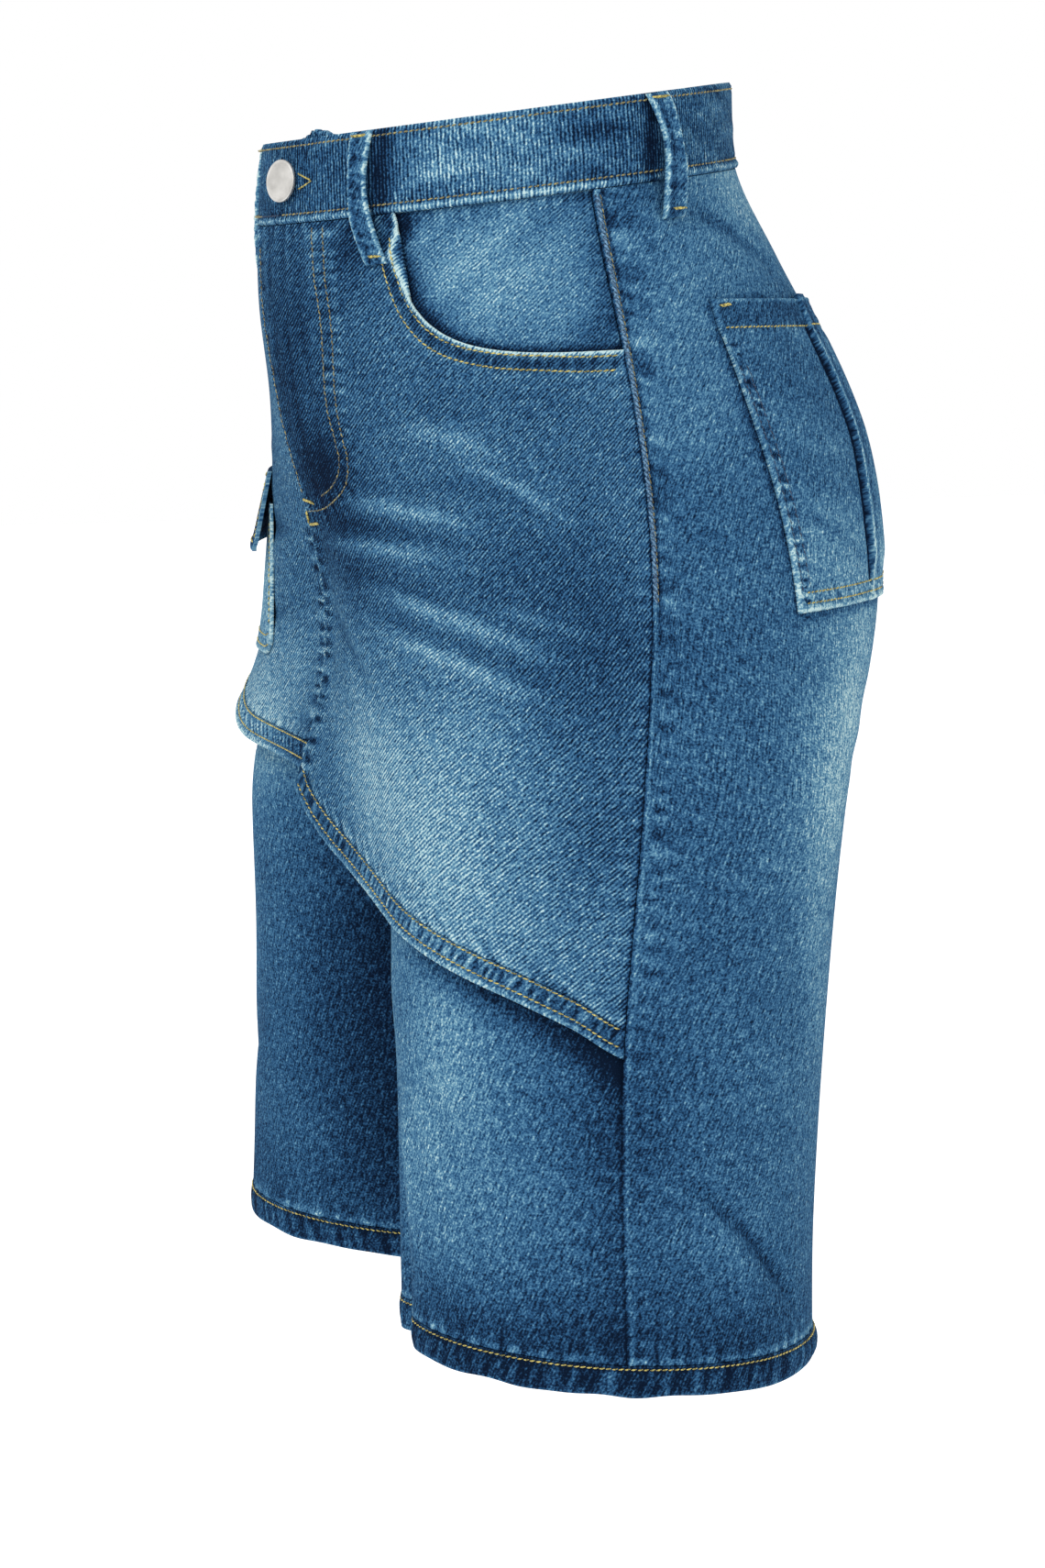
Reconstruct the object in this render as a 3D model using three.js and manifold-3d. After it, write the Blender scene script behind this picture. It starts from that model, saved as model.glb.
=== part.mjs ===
// A denim skort, worn: knee-length shorts with a short skirt front over them.
// Millimetres, +Z up, the front faces -Y and the wearer's left is +X.
// The origin is the middle of the waist opening, halfway up the waistband.
//
// Every piece of cloth is a wall on one smooth form. A place on the form is a level
// (height below the waistband's middle, before the waist's tilt) and an angle round the
// leg (0 front, 90 side, 180 back, -90 or 270 between the legs). Layers are walls that
// lie at different depths below the form, on the same columns and rows.

import * as THREE from "three";
import { mergeVertices } from "three/addons/utils/BufferGeometryUtils.js";
import Module from "manifold-3d";

const wasm = await Module();
wasm.setup();

// ---- driving dimensions -------------------------------------------------------------

const SEAM_GAP = 0.35; // between the edges of two pieces sewn together
const WAIST_TILT = 8.1; // degrees, the waist is higher at the back
const TILT_ENDS = -250; // level from which the sections lie flat
const WIDEST_BEHIND = 15; // the sections' widest line lies this far behind the origin

const BAND_HEIGHT = 39;
const BAND_OUT = 1.2; // how far the waistband stands proud of the form
const BAND_THICK = 3.6;
const BAND_LAP = 14; // the left end passes the centre front by this much
const BAND_UNDERLAP = 48; // and the right end runs this far beneath it

const CLOTH = 1.2; // one layer of denim
const FACING_DEPTH = 1.6; // pocket facing, below the form
const FACING_CLOTH = 1;
const SHORTS_DEPTH = 3; // shorts front where the skirt covers it

const FLY_LAP = 14; // the skirt's left edge over its right edge
const FLY_STRAIGHT = -100; // level down to which the fly keeps its full lap
const FLY_END = -168; // level where the lap has run out

const SKIRT_HEM = 11; // height of the band round the skirt's hem
const SKIRT_HEM_IN = 1.6;
const SKIRT_HEM_OUT = 0.9;
const SKIRT_HEM_GAP = 0.5; // straight up from the hem band, which runs steeply in places

const LEG_HEM = 14;
const LEG_HEM_LEVEL = -560.5;
const LEG_HEM_RISE = 8; // the hem is higher in front and lower behind by this much
const LEG_HEM_IN = 1.8;
const LEG_HEM_OUT = 0.6;

const SCOOP = { start: 40.5, depth: 68, drop: 4, roundness: 4 }; // front pocket mouth
const FACING_LEVEL = -108;

const POCKET = { top: -74, bottom: -213, middle: 138, wideTop: 34.5, wideBottom: 26.5 };
const PLEAT = { half: 3.5, fold: 0.4, thick: 3.8 }; // degrees, degrees, mm
const PATCH_GAP = 0.4; // a patch lies this far off the panel below it
const POCKET_CLOTH = 1.4;
const POCKET_FULLNESS = 2;

const CARGO = { inner: 0.27, outer: 0.76, top: -166, bottom: -247 };
const CARGO_CLOTH = 1.3;
const FLAP = { top: -149, bottom: -191, cloth: 1.8, stand: 8 };

const LOOP = { width: 11, top: 19, cloth: 1.6, lift: 0.5 };
const LOOPS = [
  { name: "front_left", hand: "left", angle: 34.5, bottom: -43, slack: 3 },
  { name: "front_right", hand: "right", angle: 35.5, bottom: -53, slack: 2.6 },
  { name: "side_left", hand: "left", angle: 97, bottom: -37, slack: 6.6 },
  { name: "side_right", hand: "right", angle: 97, bottom: -37, slack: 6.6 },
  { name: "back", hand: "left", angle: 180, bottom: -37, slack: 6.6 },
];

const BUTTON = { radius: 9.75, thick: 2.8, out: 17, level: 1, segments: 24 };

// ---- the form -----------------------------------------------------------------------

// Half-sections of the form, from the waist down. side and inner are the leg's outermost
// and innermost x, front and back are how far it reaches before and behind its widest
// line. At the waist inner equals -side, so the section is one closed ring.
const SECTIONS = [
  { level: 20, side: 123, front: 125.5, back: 91.5, inner: -123 },
  { level: -20, side: 125, front: 128, back: 96, inner: -125 },
  { level: -60, side: 137, front: 126.5, back: 118, inner: -137 },
  { level: -110, side: 153, front: 119, back: 148, inner: -151 },
  { level: -160, side: 167.5, front: 113.5, back: 164, inner: -142 },
  { level: -210, side: 176.5, front: 109.5, back: 162, inner: -106 },
  { level: -260, side: 181, front: 107.5, back: 142, inner: -47 },
  { level: -310, side: 184, front: 106.5, back: 121.5, inner: 1.5 },
  { level: -400, side: 190, front: 103, back: 108, inner: 10 },
  { level: -500, side: 197, front: 103, back: 98, inner: 15 },
  { level: -570, side: 202, front: 104, back: 95, inner: 21 },
];

// How far the middle of the front stands out past its section (or dips in, below zero).
const CENTRE_FRONT = [
  { level: -20, out: 1.5 },
  { level: -90, out: 3 },
  { level: -138, out: 2 },
  { level: -166, out: -1 },
  { level: -200, out: -5 },
  { level: -235, out: -5 },
  { level: -262, out: -1 },
  { level: -300, out: 7 },
];
const CENTRE_REACH = 32;

// The side seam's angle: it runs a little before the side and forward down the leg.
const SIDE_SEAM = [
  { level: -20, angle: 81 },
  { level: -120, angle: 83.5 },
  { level: -200, angle: 83 },
  { level: -300, angle: 78.5 },
  { level: -420, angle: 71.5 },
  { level: -570, angle: 71 },
];

// The skirt's lower edge, by the distance out from the centre front.
const SKIRT_EDGE = {
  left: [
    { out: 0, level: -304 },
    { out: 18, level: -320 },
    { out: 37, level: -331 },
    { out: 97, level: -352 },
    { out: 155, level: -375 },
    { out: 176, level: -390 },
    { out: 186, level: -405 },
  ],
  right: [
    { out: 0, level: -296 },
    { out: 50, level: -294 },
    { out: 95, level: -289 },
    { out: 125, level: -278 },
    { out: 150, level: -269 },
    { out: 180, level: -262 },
  ],
};

// How far the skirt's lower edge swings out from the leg, by its share of the way round.
const SKIRT_FLARE = {
  left: [
    { share: 0, out: 6 },
    { share: 0.3, out: 5 },
    { share: 0.7, out: 4 },
    { share: 1, out: 0 },
  ],
  right: [
    { share: 0, out: 1 },
    { share: 0.5, out: 10 },
    { share: 0.75, out: 7 },
    { share: 1, out: 0 },
  ],
};
const FLARE_HEIGHT = 70;
const SHORTS_RETURN = 50; // below the skirt's edge the shorts come back out to the form

// Rows shared by the layers of the front, and by the back and its pocket.
const FRONT_LEVELS = [-42, -64, -86, FACING_LEVEL, -128, -149, -166, -191, -219, -247];
const BACK_LEVELS = [-46, -74, -102, -130, -158, -186, -213, -245];
const CROTCH_LEVELS = [-270, -288, -300, -309];
const LEG_LEVELS = [-330, -375, -430, -490];

const radians = THREE.MathUtils.degToRad;
const degrees = THREE.MathUtils.radToDeg;
const mix = THREE.MathUtils.lerp;
const ease = THREE.MathUtils.smoothstep;

// A smooth curve through a table: the value of one column at a place in another.
function through(rows, from, to, at) {
  const turn = Math.sign(rows[1][from] - rows[0][from]);
  const last = rows.length - 1;
  const place = (i) => turn * rows[i][from];
  const x = THREE.MathUtils.clamp(turn * at, place(0), place(last));
  let k = 0;
  while (k < last - 1 && x > place(k + 1)) k += 1;
  const slope = (i) => {
    const a = Math.max(i - 1, 0);
    const b = Math.min(i + 1, last);
    return (rows[b][to] - rows[a][to]) / (place(b) - place(a));
  };
  const span = place(k + 1) - place(k);
  const f = (x - place(k)) / span;
  const rise = f * f * (3 - 2 * f);
  const bend = span * f * (1 - f) * ((1 - f) * slope(k) - f * slope(k + 1));
  return mix(rows[k][to], rows[k + 1][to], rise) + bend;
}

function section(level) {
  const side = through(SECTIONS, "level", "side", level);
  const inner = through(SECTIONS, "level", "inner", level);
  return {
    centre: (side + inner) / 2,
    half: (side - inner) / 2,
    front: through(SECTIONS, "level", "front", level),
    back: through(SECTIONS, "level", "back", level),
  };
}

// Puts a point of a flat section at its height, with the waist's tilt.
function place(level, x, y) {
  const flat = THREE.MathUtils.clamp((level - TILT_ENDS) / -TILT_ENDS, 0, 1);
  const slope = Math.tan(radians(WAIST_TILT));
  return new THREE.Vector3(x, y + WIDEST_BEHIND, level + slope * (flat * y + WIDEST_BEHIND));
}

function frontDepth(s, level, x) {
  const out = through(CENTRE_FRONT, "level", "out", level);
  return s.front + out * Math.exp(-((x / CENTRE_REACH) ** 2));
}

// The form itself, round one leg: an ellipse with its own depth before and behind.
function onForm(level, angle) {
  const s = section(level);
  const x = s.centre + s.half * Math.sin(radians(angle));
  const along = Math.cos(radians(angle));
  const depth = along > 0 ? frontDepth(s, level, x) : s.back;
  return place(level, x, -depth * along);
}

// The skirt follows the form at the side but runs straight across between the legs.
function onSkirt(level, angle) {
  const s = section(level);
  const x = s.centre + s.half * Math.sin(radians(angle));
  const along = Math.cos(radians(Math.max(angle, 0)));
  return place(level, x, -frontDepth(s, level, x) * along);
}

// The angle at which a section crosses a given distance out from the centre.
function angleAt(level, out) {
  const s = section(level);
  return degrees(Math.asin(THREE.MathUtils.clamp((out - s.centre) / s.half, -1, 1)));
}

const sideSeam = (level) => through(SIDE_SEAM, "level", "angle", level);

// Degrees of turn that make half a seam gap at the side.
const seamTurn = (level) => degrees(SEAM_GAP / 2 / section(level).half);

const legHemLevel = (angle) => LEG_HEM_LEVEL + LEG_HEM_RISE * Math.cos(radians(angle));

// ---- walls --------------------------------------------------------------------------

// A closed wall on a sheet: each column and row of sheet(u, v) is moved along the
// sheet's outward normal to its inner and its outer face, and the edges are closed.
function wall({ sheet, columns, rows, inner, outer, ring = false }) {
  const step = 1e-3;
  const normal = (u, v) => {
    const across = sheet(u + step, v).sub(sheet(u - step, v));
    const down = sheet(u, v + step).sub(sheet(u, v - step));
    return down.cross(across).normalize();
  };
  const nu = columns.length;
  const nv = rows.length;
  const faces = [inner, outer].map((offset) =>
    columns.flatMap((u) =>
      rows.map((v) => sheet(u, v).addScaledVector(normal(u, v), offset(u, v))),
    ),
  );
  const positions = faces.flat().flatMap((p) => p.toArray());
  const at = (face, i, j) => face * nu * nv + (i % nu) * nv + j;
  const index = [];
  const quad = (a, b, c, d) => index.push(a, b, c, a, c, d);
  for (let i = 0; i < (ring ? nu : nu - 1); i += 1) {
    for (let j = 0; j < nv - 1; j += 1) {
      quad(at(1, i, j), at(1, i, j + 1), at(1, i + 1, j + 1), at(1, i + 1, j));
      quad(at(0, i, j), at(0, i + 1, j), at(0, i + 1, j + 1), at(0, i, j + 1));
    }
    quad(at(0, i, 0), at(1, i, 0), at(1, i + 1, 0), at(0, i + 1, 0));
    quad(at(0, i, nv - 1), at(0, i + 1, nv - 1), at(1, i + 1, nv - 1), at(1, i, nv - 1));
  }
  if (!ring) {
    for (let j = 0; j < nv - 1; j += 1) {
      quad(at(0, 0, j), at(0, 0, j + 1), at(1, 0, j + 1), at(1, 0, j));
      quad(at(0, nu - 1, j), at(1, nu - 1, j), at(1, nu - 1, j + 1), at(0, nu - 1, j + 1));
    }
  }
  const geometry = new THREE.BufferGeometry();
  geometry.setAttribute("position", new THREE.Float32BufferAttribute(positions, 3));
  geometry.setIndex(index);
  return geometry;
}

const spread = (from, to, steps) =>
  Array.from({ length: steps + 1 }, (_, i) => mix(from, to, i / steps));

const constant = (value) => () => value;

// Reverses left and right, and turns the faces back outward.
function mirrored(geometry) {
  const turned = geometry.clone().scale(-1, 1, 1);
  const index = turned.getIndex();
  for (let i = 0; i < index.count; i += 3) {
    const b = index.getX(i + 1);
    index.setX(i + 1, index.getX(i + 2));
    index.setX(i + 2, b);
  }
  return turned;
}

function toManifold(geometry) {
  const bare = new THREE.BufferGeometry();
  bare.setAttribute("position", geometry.getAttribute("position").clone());
  bare.setIndex(geometry.getIndex());
  const merged = mergeVertices(bare, 1e-4);
  return new wasm.Manifold(
    new wasm.Mesh({
      numProp: 3,
      vertProperties: new Float32Array(merged.getAttribute("position").array),
      triVerts: new Uint32Array(merged.getIndex().array),
    }),
  );
}

function toGeometry(manifold) {
  const mesh = manifold.getMesh();
  const geometry = new THREE.BufferGeometry();
  const positions = new THREE.BufferAttribute(new Float32Array(mesh.vertProperties), 3);
  geometry.setAttribute("position", positions);
  geometry.setIndex(new THREE.BufferAttribute(new Uint32Array(mesh.triVerts), 1));
  return geometry;
}

// Cuts a left-hand piece along the centre seam, half a gap from the middle.
function cutAtCentre(geometry) {
  const size = 2000;
  const block = new THREE.BoxGeometry(size, size, size);
  block.translate(size / 2 + SEAM_GAP / 2, 0, 0);
  return toGeometry(toManifold(geometry).intersect(toManifold(block)));
}

// ---- columns ------------------------------------------------------------------------

// The front's columns, as shares of the way from the centre to the side seam, with one
// at each edge of the cargo pocket.
const FRONT_COLUMNS = [
  ...spread(0, CARGO.inner, 4),
  ...spread(CARGO.inner, CARGO.outer, 7).slice(1),
  ...spread(CARGO.outer, 1, 4).slice(1),
];

const PAST_CENTRE = 8; // degrees that the shorts run past the centre before they are cut

// The back's columns follow the pocket's slanting sides and its pleat.
function backKnots(level) {
  const f = THREE.MathUtils.clamp((POCKET.top - level) / (POCKET.top - POCKET.bottom), 0, 1);
  const wide = mix(POCKET.wideTop, POCKET.wideBottom, f);
  return [
    sideSeam(level) + seamTurn(level),
    POCKET.middle - wide,
    POCKET.middle - PLEAT.half,
    POCKET.middle + PLEAT.half,
    POCKET.middle + wide,
    Math.min(180 - angleAt(level, 0) + PAST_CENTRE, 270 - seamTurn(level)),
  ];
}
const BACK_STEPS = [3, 3, 1, 3, 5];
const BACK_COLUMNS = BACK_STEPS.flatMap((steps, i) => spread(i, i + 1, steps).slice(i ? 1 : 0));

function backAngle(level, column) {
  const knots = backKnots(level);
  const k = THREE.MathUtils.clamp(Math.floor(column), 0, knots.length - 2);
  return mix(knots[k], knots[k + 1], column - k);
}

// ---- shorts -------------------------------------------------------------------------

const PANEL_TOP = -BAND_HEIGHT / 2 - SEAM_GAP;

// Rows are whole numbers: 0 at the waistband, then one for each level, and the last at
// the leg's hem band, whose height changes round the leg.
function rowLevel(levels, row, last) {
  const stops = [PANEL_TOP, ...levels, last];
  const k = THREE.MathUtils.clamp(Math.floor(row), 0, stops.length - 2);
  return mix(stops[k], stops[k + 1], row - k);
}

const rowsOf = (levels) => spread(0, levels.length + 1, levels.length + 1);

function skirtEdge(hand, out) {
  return through(SKIRT_EDGE[hand], "out", "level", out);
}

function shortsFront(hand) {
  const levels = [...FRONT_LEVELS, ...CROTCH_LEVELS, ...LEG_LEVELS];
  const angleOf = (level, share) => {
    const from = Math.max(angleAt(level, 0) - PAST_CENTRE, -90 + seamTurn(level));
    return mix(from, sideSeam(level) - seamTurn(level), share);
  };
  const levelOf = (share, row) => {
    const angle = mix(-90, sideSeam(LEG_HEM_LEVEL), share);
    return rowLevel(levels, row, legHemLevel(angle) + LEG_HEM + SEAM_GAP);
  };
  const sheet = (share, row) => {
    const level = levelOf(share, row);
    return onForm(level, angleOf(level, share));
  };
  const outer = (share, row) => {
    const level = levelOf(share, row);
    const angle = angleOf(level, share);
    const below = skirtEdge(hand, onForm(level, angle).x) - level;
    return -SHORTS_DEPTH * ease(angle, -40, -5) * (1 - ease(below, 0, SHORTS_RETURN));
  };
  const inner = (share, row) => outer(share, row) - CLOTH;
  const piece = wall({ sheet, columns: FRONT_COLUMNS, rows: rowsOf(levels), inner, outer });
  return cutAtCentre(piece);
}

function shortsBack() {
  const levels = [...BACK_LEVELS, ...CROTCH_LEVELS, ...LEG_LEVELS];
  const levelOf = (column, row) => {
    const angle = backAngle(LEG_HEM_LEVEL, column);
    return rowLevel(levels, row, legHemLevel(angle) + LEG_HEM + SEAM_GAP);
  };
  const sheet = (column, row) => {
    const level = levelOf(column, row);
    return onForm(level, backAngle(level, column));
  };
  const piece = wall({
    sheet,
    columns: BACK_COLUMNS,
    rows: rowsOf(levels),
    inner: constant(-CLOTH),
    outer: constant(0),
  });
  return cutAtCentre(piece);
}

function legHem() {
  const sheet = (angle, row) => onForm(legHemLevel(angle) + mix(LEG_HEM, 0, row), angle);
  return wall({
    sheet,
    columns: spread(-90, 270, 24).slice(0, -1),
    rows: [0, 1],
    inner: constant(-LEG_HEM_IN),
    outer: constant(LEG_HEM_OUT),
    ring: true,
  });
}

// ---- skirt front --------------------------------------------------------------------

// The skirt's centre edge: past the middle along the fly, then at the centre seam.
function skirtCentre(hand, level) {
  const lap = FLY_LAP * ease(level, FLY_END, FLY_STRAIGHT);
  return SEAM_GAP / 2 + (hand === "left" ? -lap : lap);
}

// The skirt's columns are evenly spaced across it: straight across up to the leg's
// middle, and from there round the leg to the side seam.
function skirtAngle(hand, level, share) {
  const s = section(level);
  const seam = radians(sideSeam(level) - seamTurn(level)) * s.half;
  const along = mix(skirtCentre(hand, level) - s.centre, seam, share);
  return along < 0 ? angleAt(level, s.centre + along) : degrees(along / s.half);
}

// The level of the skirt's lower edge at a share of the way round, found by stepping
// toward the edge until the point's own distance out agrees with it.
function skirtEdgeLevel(hand, share) {
  let level = skirtEdge(hand, 100);
  for (let i = 0; i < 16; i += 1) {
    const out = onSkirt(level, skirtAngle(hand, level, share)).x;
    level = mix(level, skirtEdge(hand, out), 0.6);
  }
  return level;
}

function skirtFlare(hand, share, level) {
  const fall = 1 - (level - skirtEdgeLevel(hand, share)) / FLARE_HEIGHT;
  const swing = through(SKIRT_FLARE[hand], "share", "out", share);
  return swing * THREE.MathUtils.clamp(fall, 0, 1) ** 2;
}

// The pocket mouth: a rounded quarter from the waistband down and out to the side seam.
function scoopPoint(turn) {
  const power = 2 / SCOOP.roundness;
  const seam = sideSeam(FACING_LEVEL) + 1;
  const across = 1 - Math.cos(turn) ** power;
  return {
    angle: mix(SCOOP.start, seam, across),
    level: PANEL_TOP - SCOOP.depth * Math.sin(turn) ** power - SCOOP.drop * across,
  };
}

// A block over the pocket mouth, thick enough to cut right through the skirt.
function scoopCutter() {
  const above = 12;
  const beyond = 14;
  const sheet = (share, row) => {
    const edge = scoopPoint((Math.PI / 2) * THREE.MathUtils.clamp(share, 0, 1));
    const top = mix(SCOOP.start, sideSeam(PANEL_TOP) + beyond, share);
    const angle = mix(top, edge.angle, row);
    return onForm(mix(PANEL_TOP + above, edge.level, row), angle);
  };
  return wall({
    sheet,
    columns: spread(0, 1, 12),
    rows: spread(0, 1, 4),
    inner: constant(-4 * CLOTH),
    outer: constant(4 * CLOTH),
  });
}

function skirtFront(hand) {
  const lowerRows = hand === "left" ? 3 : 1;
  const fixed = [PANEL_TOP, ...FRONT_LEVELS];
  const last = fixed.length - 1;
  const levelOf = (share, row) => {
    if (row <= last) {
      const k = THREE.MathUtils.clamp(Math.floor(row), 0, last - 1);
      return mix(fixed[k], fixed[k + 1], row - k);
    }
    const bottom = skirtEdgeLevel(hand, share) + SKIRT_HEM + SKIRT_HEM_GAP;
    return mix(fixed[last], bottom, (row - last) / lowerRows);
  };
  const sheet = (share, row) => {
    const level = levelOf(share, row);
    return onSkirt(level, skirtAngle(hand, level, share));
  };
  const outer = (share, row) => skirtFlare(hand, share, levelOf(share, row));
  const inner = (share, row) => outer(share, row) - CLOTH;
  const rows = spread(0, last + lowerRows, last + lowerRows);
  const whole = wall({ sheet, columns: FRONT_COLUMNS, rows, inner, outer });
  return toGeometry(toManifold(whole).subtract(toManifold(scoopCutter())));
}

function skirtHem(hand) {
  const sheet = (share, row) => {
    const level = skirtEdgeLevel(hand, share) + mix(SKIRT_HEM, 0, row);
    return onSkirt(level, skirtAngle(hand, level, share));
  };
  const levelOf = (share, row) => skirtEdgeLevel(hand, share) + mix(SKIRT_HEM, 0, row);
  return wall({
    sheet,
    columns: FRONT_COLUMNS,
    rows: [0, 1],
    inner: (share, row) => skirtFlare(hand, share, levelOf(share, row)) - SKIRT_HEM_IN,
    outer: (share, row) => skirtFlare(hand, share, levelOf(share, row)) + SKIRT_HEM_OUT,
  });
}

// ---- pockets ------------------------------------------------------------------------

// A piece that lies on the skirt, on the skirt's own columns and rows.
function onSkirtPatch(hand, columns, levels, inner, outer) {
  const sheet = (share, row) => {
    const k = THREE.MathUtils.clamp(Math.floor(row), 0, levels.length - 2);
    const level = mix(levels[k], levels[k + 1], row - k);
    return onSkirt(level, skirtAngle(hand, level, share));
  };
  return wall({ sheet, columns, rows: levels.map((_, i) => i), inner, outer });
}

function pocketFacing(hand) {
  const columns = FRONT_COLUMNS.filter((share) => share > 0.4);
  const levels = [PANEL_TOP, ...FRONT_LEVELS.filter((level) => level >= FACING_LEVEL)];
  const inner = constant(-FACING_DEPTH - FACING_CLOTH);
  return onSkirtPatch(hand, columns, levels, inner, constant(-FACING_DEPTH));
}

const cargoColumns = FRONT_COLUMNS.filter(
  (share) => share > CARGO.inner - 0.01 && share < CARGO.outer + 0.01,
);
const levelsBetween = (levels, top, bottom) =>
  levels.filter((level) => level <= top && level >= bottom);

// Fullness of a patch: nothing at its edges, most in its middle.
const swell = (a, b) => Math.sin(Math.PI * a) * Math.sin(Math.PI * b);

function cargoPocket() {
  const levels = levelsBetween(FRONT_LEVELS, CARGO.top, CARGO.bottom);
  const across = (share) => (share - CARGO.inner) / (CARGO.outer - CARGO.inner);
  const full = (share, row) => 1.6 * swell(across(share), row / (levels.length - 1));
  const flare = (share, row) =>
    skirtFlare("right", share, levels[Math.round(row)]) + full(share, row);
  const inner = (share, row) => flare(share, row) + PATCH_GAP;
  const outer = (share, row) => inner(share, row) + CARGO_CLOTH;
  return onSkirtPatch("right", cargoColumns, levels, inner, outer);
}

function cargoFlap() {
  const levels = levelsBetween(FRONT_LEVELS, FLAP.top, FLAP.bottom);
  const last = levels.length - 1;
  const inner = (share, row) => PATCH_GAP + FLAP.stand * (row / last) ** 0.9;
  const outer = (share, row) => inner(share, row) + FLAP.cloth;
  return onSkirtPatch("right", cargoColumns, levels, inner, outer);
}

// The back pocket, with a box pleat of three layers down its middle.
function backPocket() {
  const levels = levelsBetween(BACK_LEVELS, POCKET.top, POCKET.bottom);
  const fold = PLEAT.fold / (2 * PLEAT.half);
  const columns = [...spread(1, 2, 3), 2 + fold, 3 - fold, ...spread(3, 4, 3)];
  const sheet = (column, row) => {
    const k = THREE.MathUtils.clamp(Math.floor(row), 0, levels.length - 2);
    const level = mix(levels[k], levels[k + 1], row - k);
    return onForm(level, backAngle(level, column));
  };
  const inner = (column, row) =>
    PATCH_GAP + POCKET_FULLNESS * swell((column - 1) / 3, row / (levels.length - 1));
  const outer = (column, row) =>
    inner(column, row) + (column > 2 && column < 3 ? PLEAT.thick : POCKET_CLOTH);
  return wall({ sheet, columns, rows: levels.map((_, i) => i), inner, outer });
}

// ---- waistband, belt loops, button --------------------------------------------------

// The band starts at its left end in front, goes round by the left side and the back,
// and its right end dips in and runs beneath the left end.
function waistband() {
  const start = angleAt(0, -BAND_LAP);
  const end = 360 + angleAt(0, BAND_UNDERLAP);
  const dipStart = 360 + angleAt(0, -60);
  const dipEnd = 360 + angleAt(0, -BAND_LAP - 4);
  const dip = (angle) => (BAND_THICK + PATCH_GAP) * ease(angle, dipStart, dipEnd);
  return wall({
    sheet: (angle, row) => onForm(BAND_HEIGHT * (0.5 - row), angle),
    columns: spread(start, end, 48),
    rows: [0, 1],
    inner: (angle) => BAND_OUT - BAND_THICK - dip(angle),
    outer: (angle) => BAND_OUT - dip(angle),
  });
}

// A loop is fixed on the band's top edge and below its lower seam, and slack between.
function beltLoop({ angle, bottom, slack }) {
  const turn = degrees(LOOP.width / section(0).half);
  const inner = (u, v) => {
    const rest = PATCH_GAP + mix(BAND_OUT, LOOP.lift, ease(v, 0.6, 1));
    return rest + slack * Math.sin(Math.PI * v) ** 0.7;
  };
  return wall({
    sheet: (u, v) => onForm(mix(LOOP.top, bottom, v), angle + turn * (u - 0.5)),
    columns: [0, 1],
    rows: spread(0, 1, 10),
    inner,
    outer: (u, v) => inner(u, v) + LOOP.cloth,
  });
}

function button() {
  const { radius, thick, segments } = BUTTON;
  const profile = [
    [0, 0],
    [radius - 1.1, 0],
    [radius, 0.9],
    [radius, thick - 0.7],
    [radius - 0.4, thick - 0.3],
    [radius - 1, thick - 0.6],
    [radius * 0.5, thick - 0.1],
    [0, thick],
  ].map(([x, y]) => new THREE.Vector2(x, y));
  return new THREE.LatheGeometry(profile, segments);
}

// ---- the part -----------------------------------------------------------------------

const denim = (colour) =>
  new THREE.MeshStandardMaterial({ color: colour, roughness: 0.9, metalness: 0 });
const DENIM = denim(0x3c6a96);
const DENIM_DARK = denim(0x27496f);
const DENIM_LIGHT = denim(0x5585ad);
const NICKEL = new THREE.MeshStandardMaterial({
  color: 0xb9bbbc,
  roughness: 0.35,
  metalness: 0.9,
});

const skort = new THREE.Group();
skort.name = "skort";

function add(name, geometry, material) {
  const mesh = new THREE.Mesh(geometry, material);
  mesh.name = name;
  skort.add(mesh);
  return mesh;
}

function addPair(name, left, right, material) {
  add(`${name}_left`, left, material);
  add(`${name}_right`, mirrored(right), material);
}

add("waistband", waistband(), DENIM_DARK);
addPair("skirt_front", skirtFront("left"), skirtFront("right"), DENIM);
addPair("skirt_hem", skirtHem("left"), skirtHem("right"), DENIM_DARK);
addPair("pocket_facing", pocketFacing("left"), pocketFacing("right"), DENIM_LIGHT);
addPair("shorts_front", shortsFront("left"), shortsFront("right"), DENIM_DARK);
addPair("shorts_back", shortsBack(), shortsBack(), DENIM);
addPair("leg_hem", legHem(), legHem(), DENIM_DARK);
addPair("back_pocket", backPocket(), backPocket(), DENIM_LIGHT);
add("cargo_pocket", mirrored(cargoPocket()), DENIM_LIGHT);
add("cargo_flap", mirrored(cargoFlap()), DENIM);

for (const loop of LOOPS) {
  const strip = beltLoop(loop);
  add(`belt_loop_${loop.name}`, loop.hand === "left" ? strip : mirrored(strip), DENIM_DARK);
}

const buttonAngle = angleAt(BUTTON.level, BUTTON.out);
const seat = onForm(BUTTON.level, buttonAngle);
const outward = onForm(BUTTON.level - 1, buttonAngle)
  .sub(onForm(BUTTON.level + 1, buttonAngle))
  .cross(onForm(BUTTON.level, buttonAngle + 1).sub(onForm(BUTTON.level, buttonAngle - 1)))
  .normalize();
const disc = add("button", button(), NICKEL);
disc.position.copy(seat).addScaledVector(outward, BAND_OUT + PATCH_GAP);
disc.quaternion.setFromUnitVectors(new THREE.Vector3(0, 1, 0), outward);

export default skort;
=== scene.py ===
# %% [markdown]
# # A denim skort
#
# A skort is a pair of knee-length shorts with a short skirt front sewn over them. This
# lesson builds one in Blender around a frame of imported solids, one for each piece that a
# maker would cut: waistband, two skirt fronts, shorts fronts and backs, hems, pockets,
# belt loops and a button. Each plain solid is replaced by a thin shell of cloth with its
# folds, puckers, stitches and wash, and with light and shade painted in some places.
#
# The frame is in metres, +Z up, the front faces -Y and the wearer's left is +X. Cloth is
# easier to think of in millimetres, so the sizes below are in millimetres, and the
# helper that makes a mesh turns them into metres.

import bmesh
import bpy
import numpy as np
from mathutils import Matrix, Vector


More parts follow.
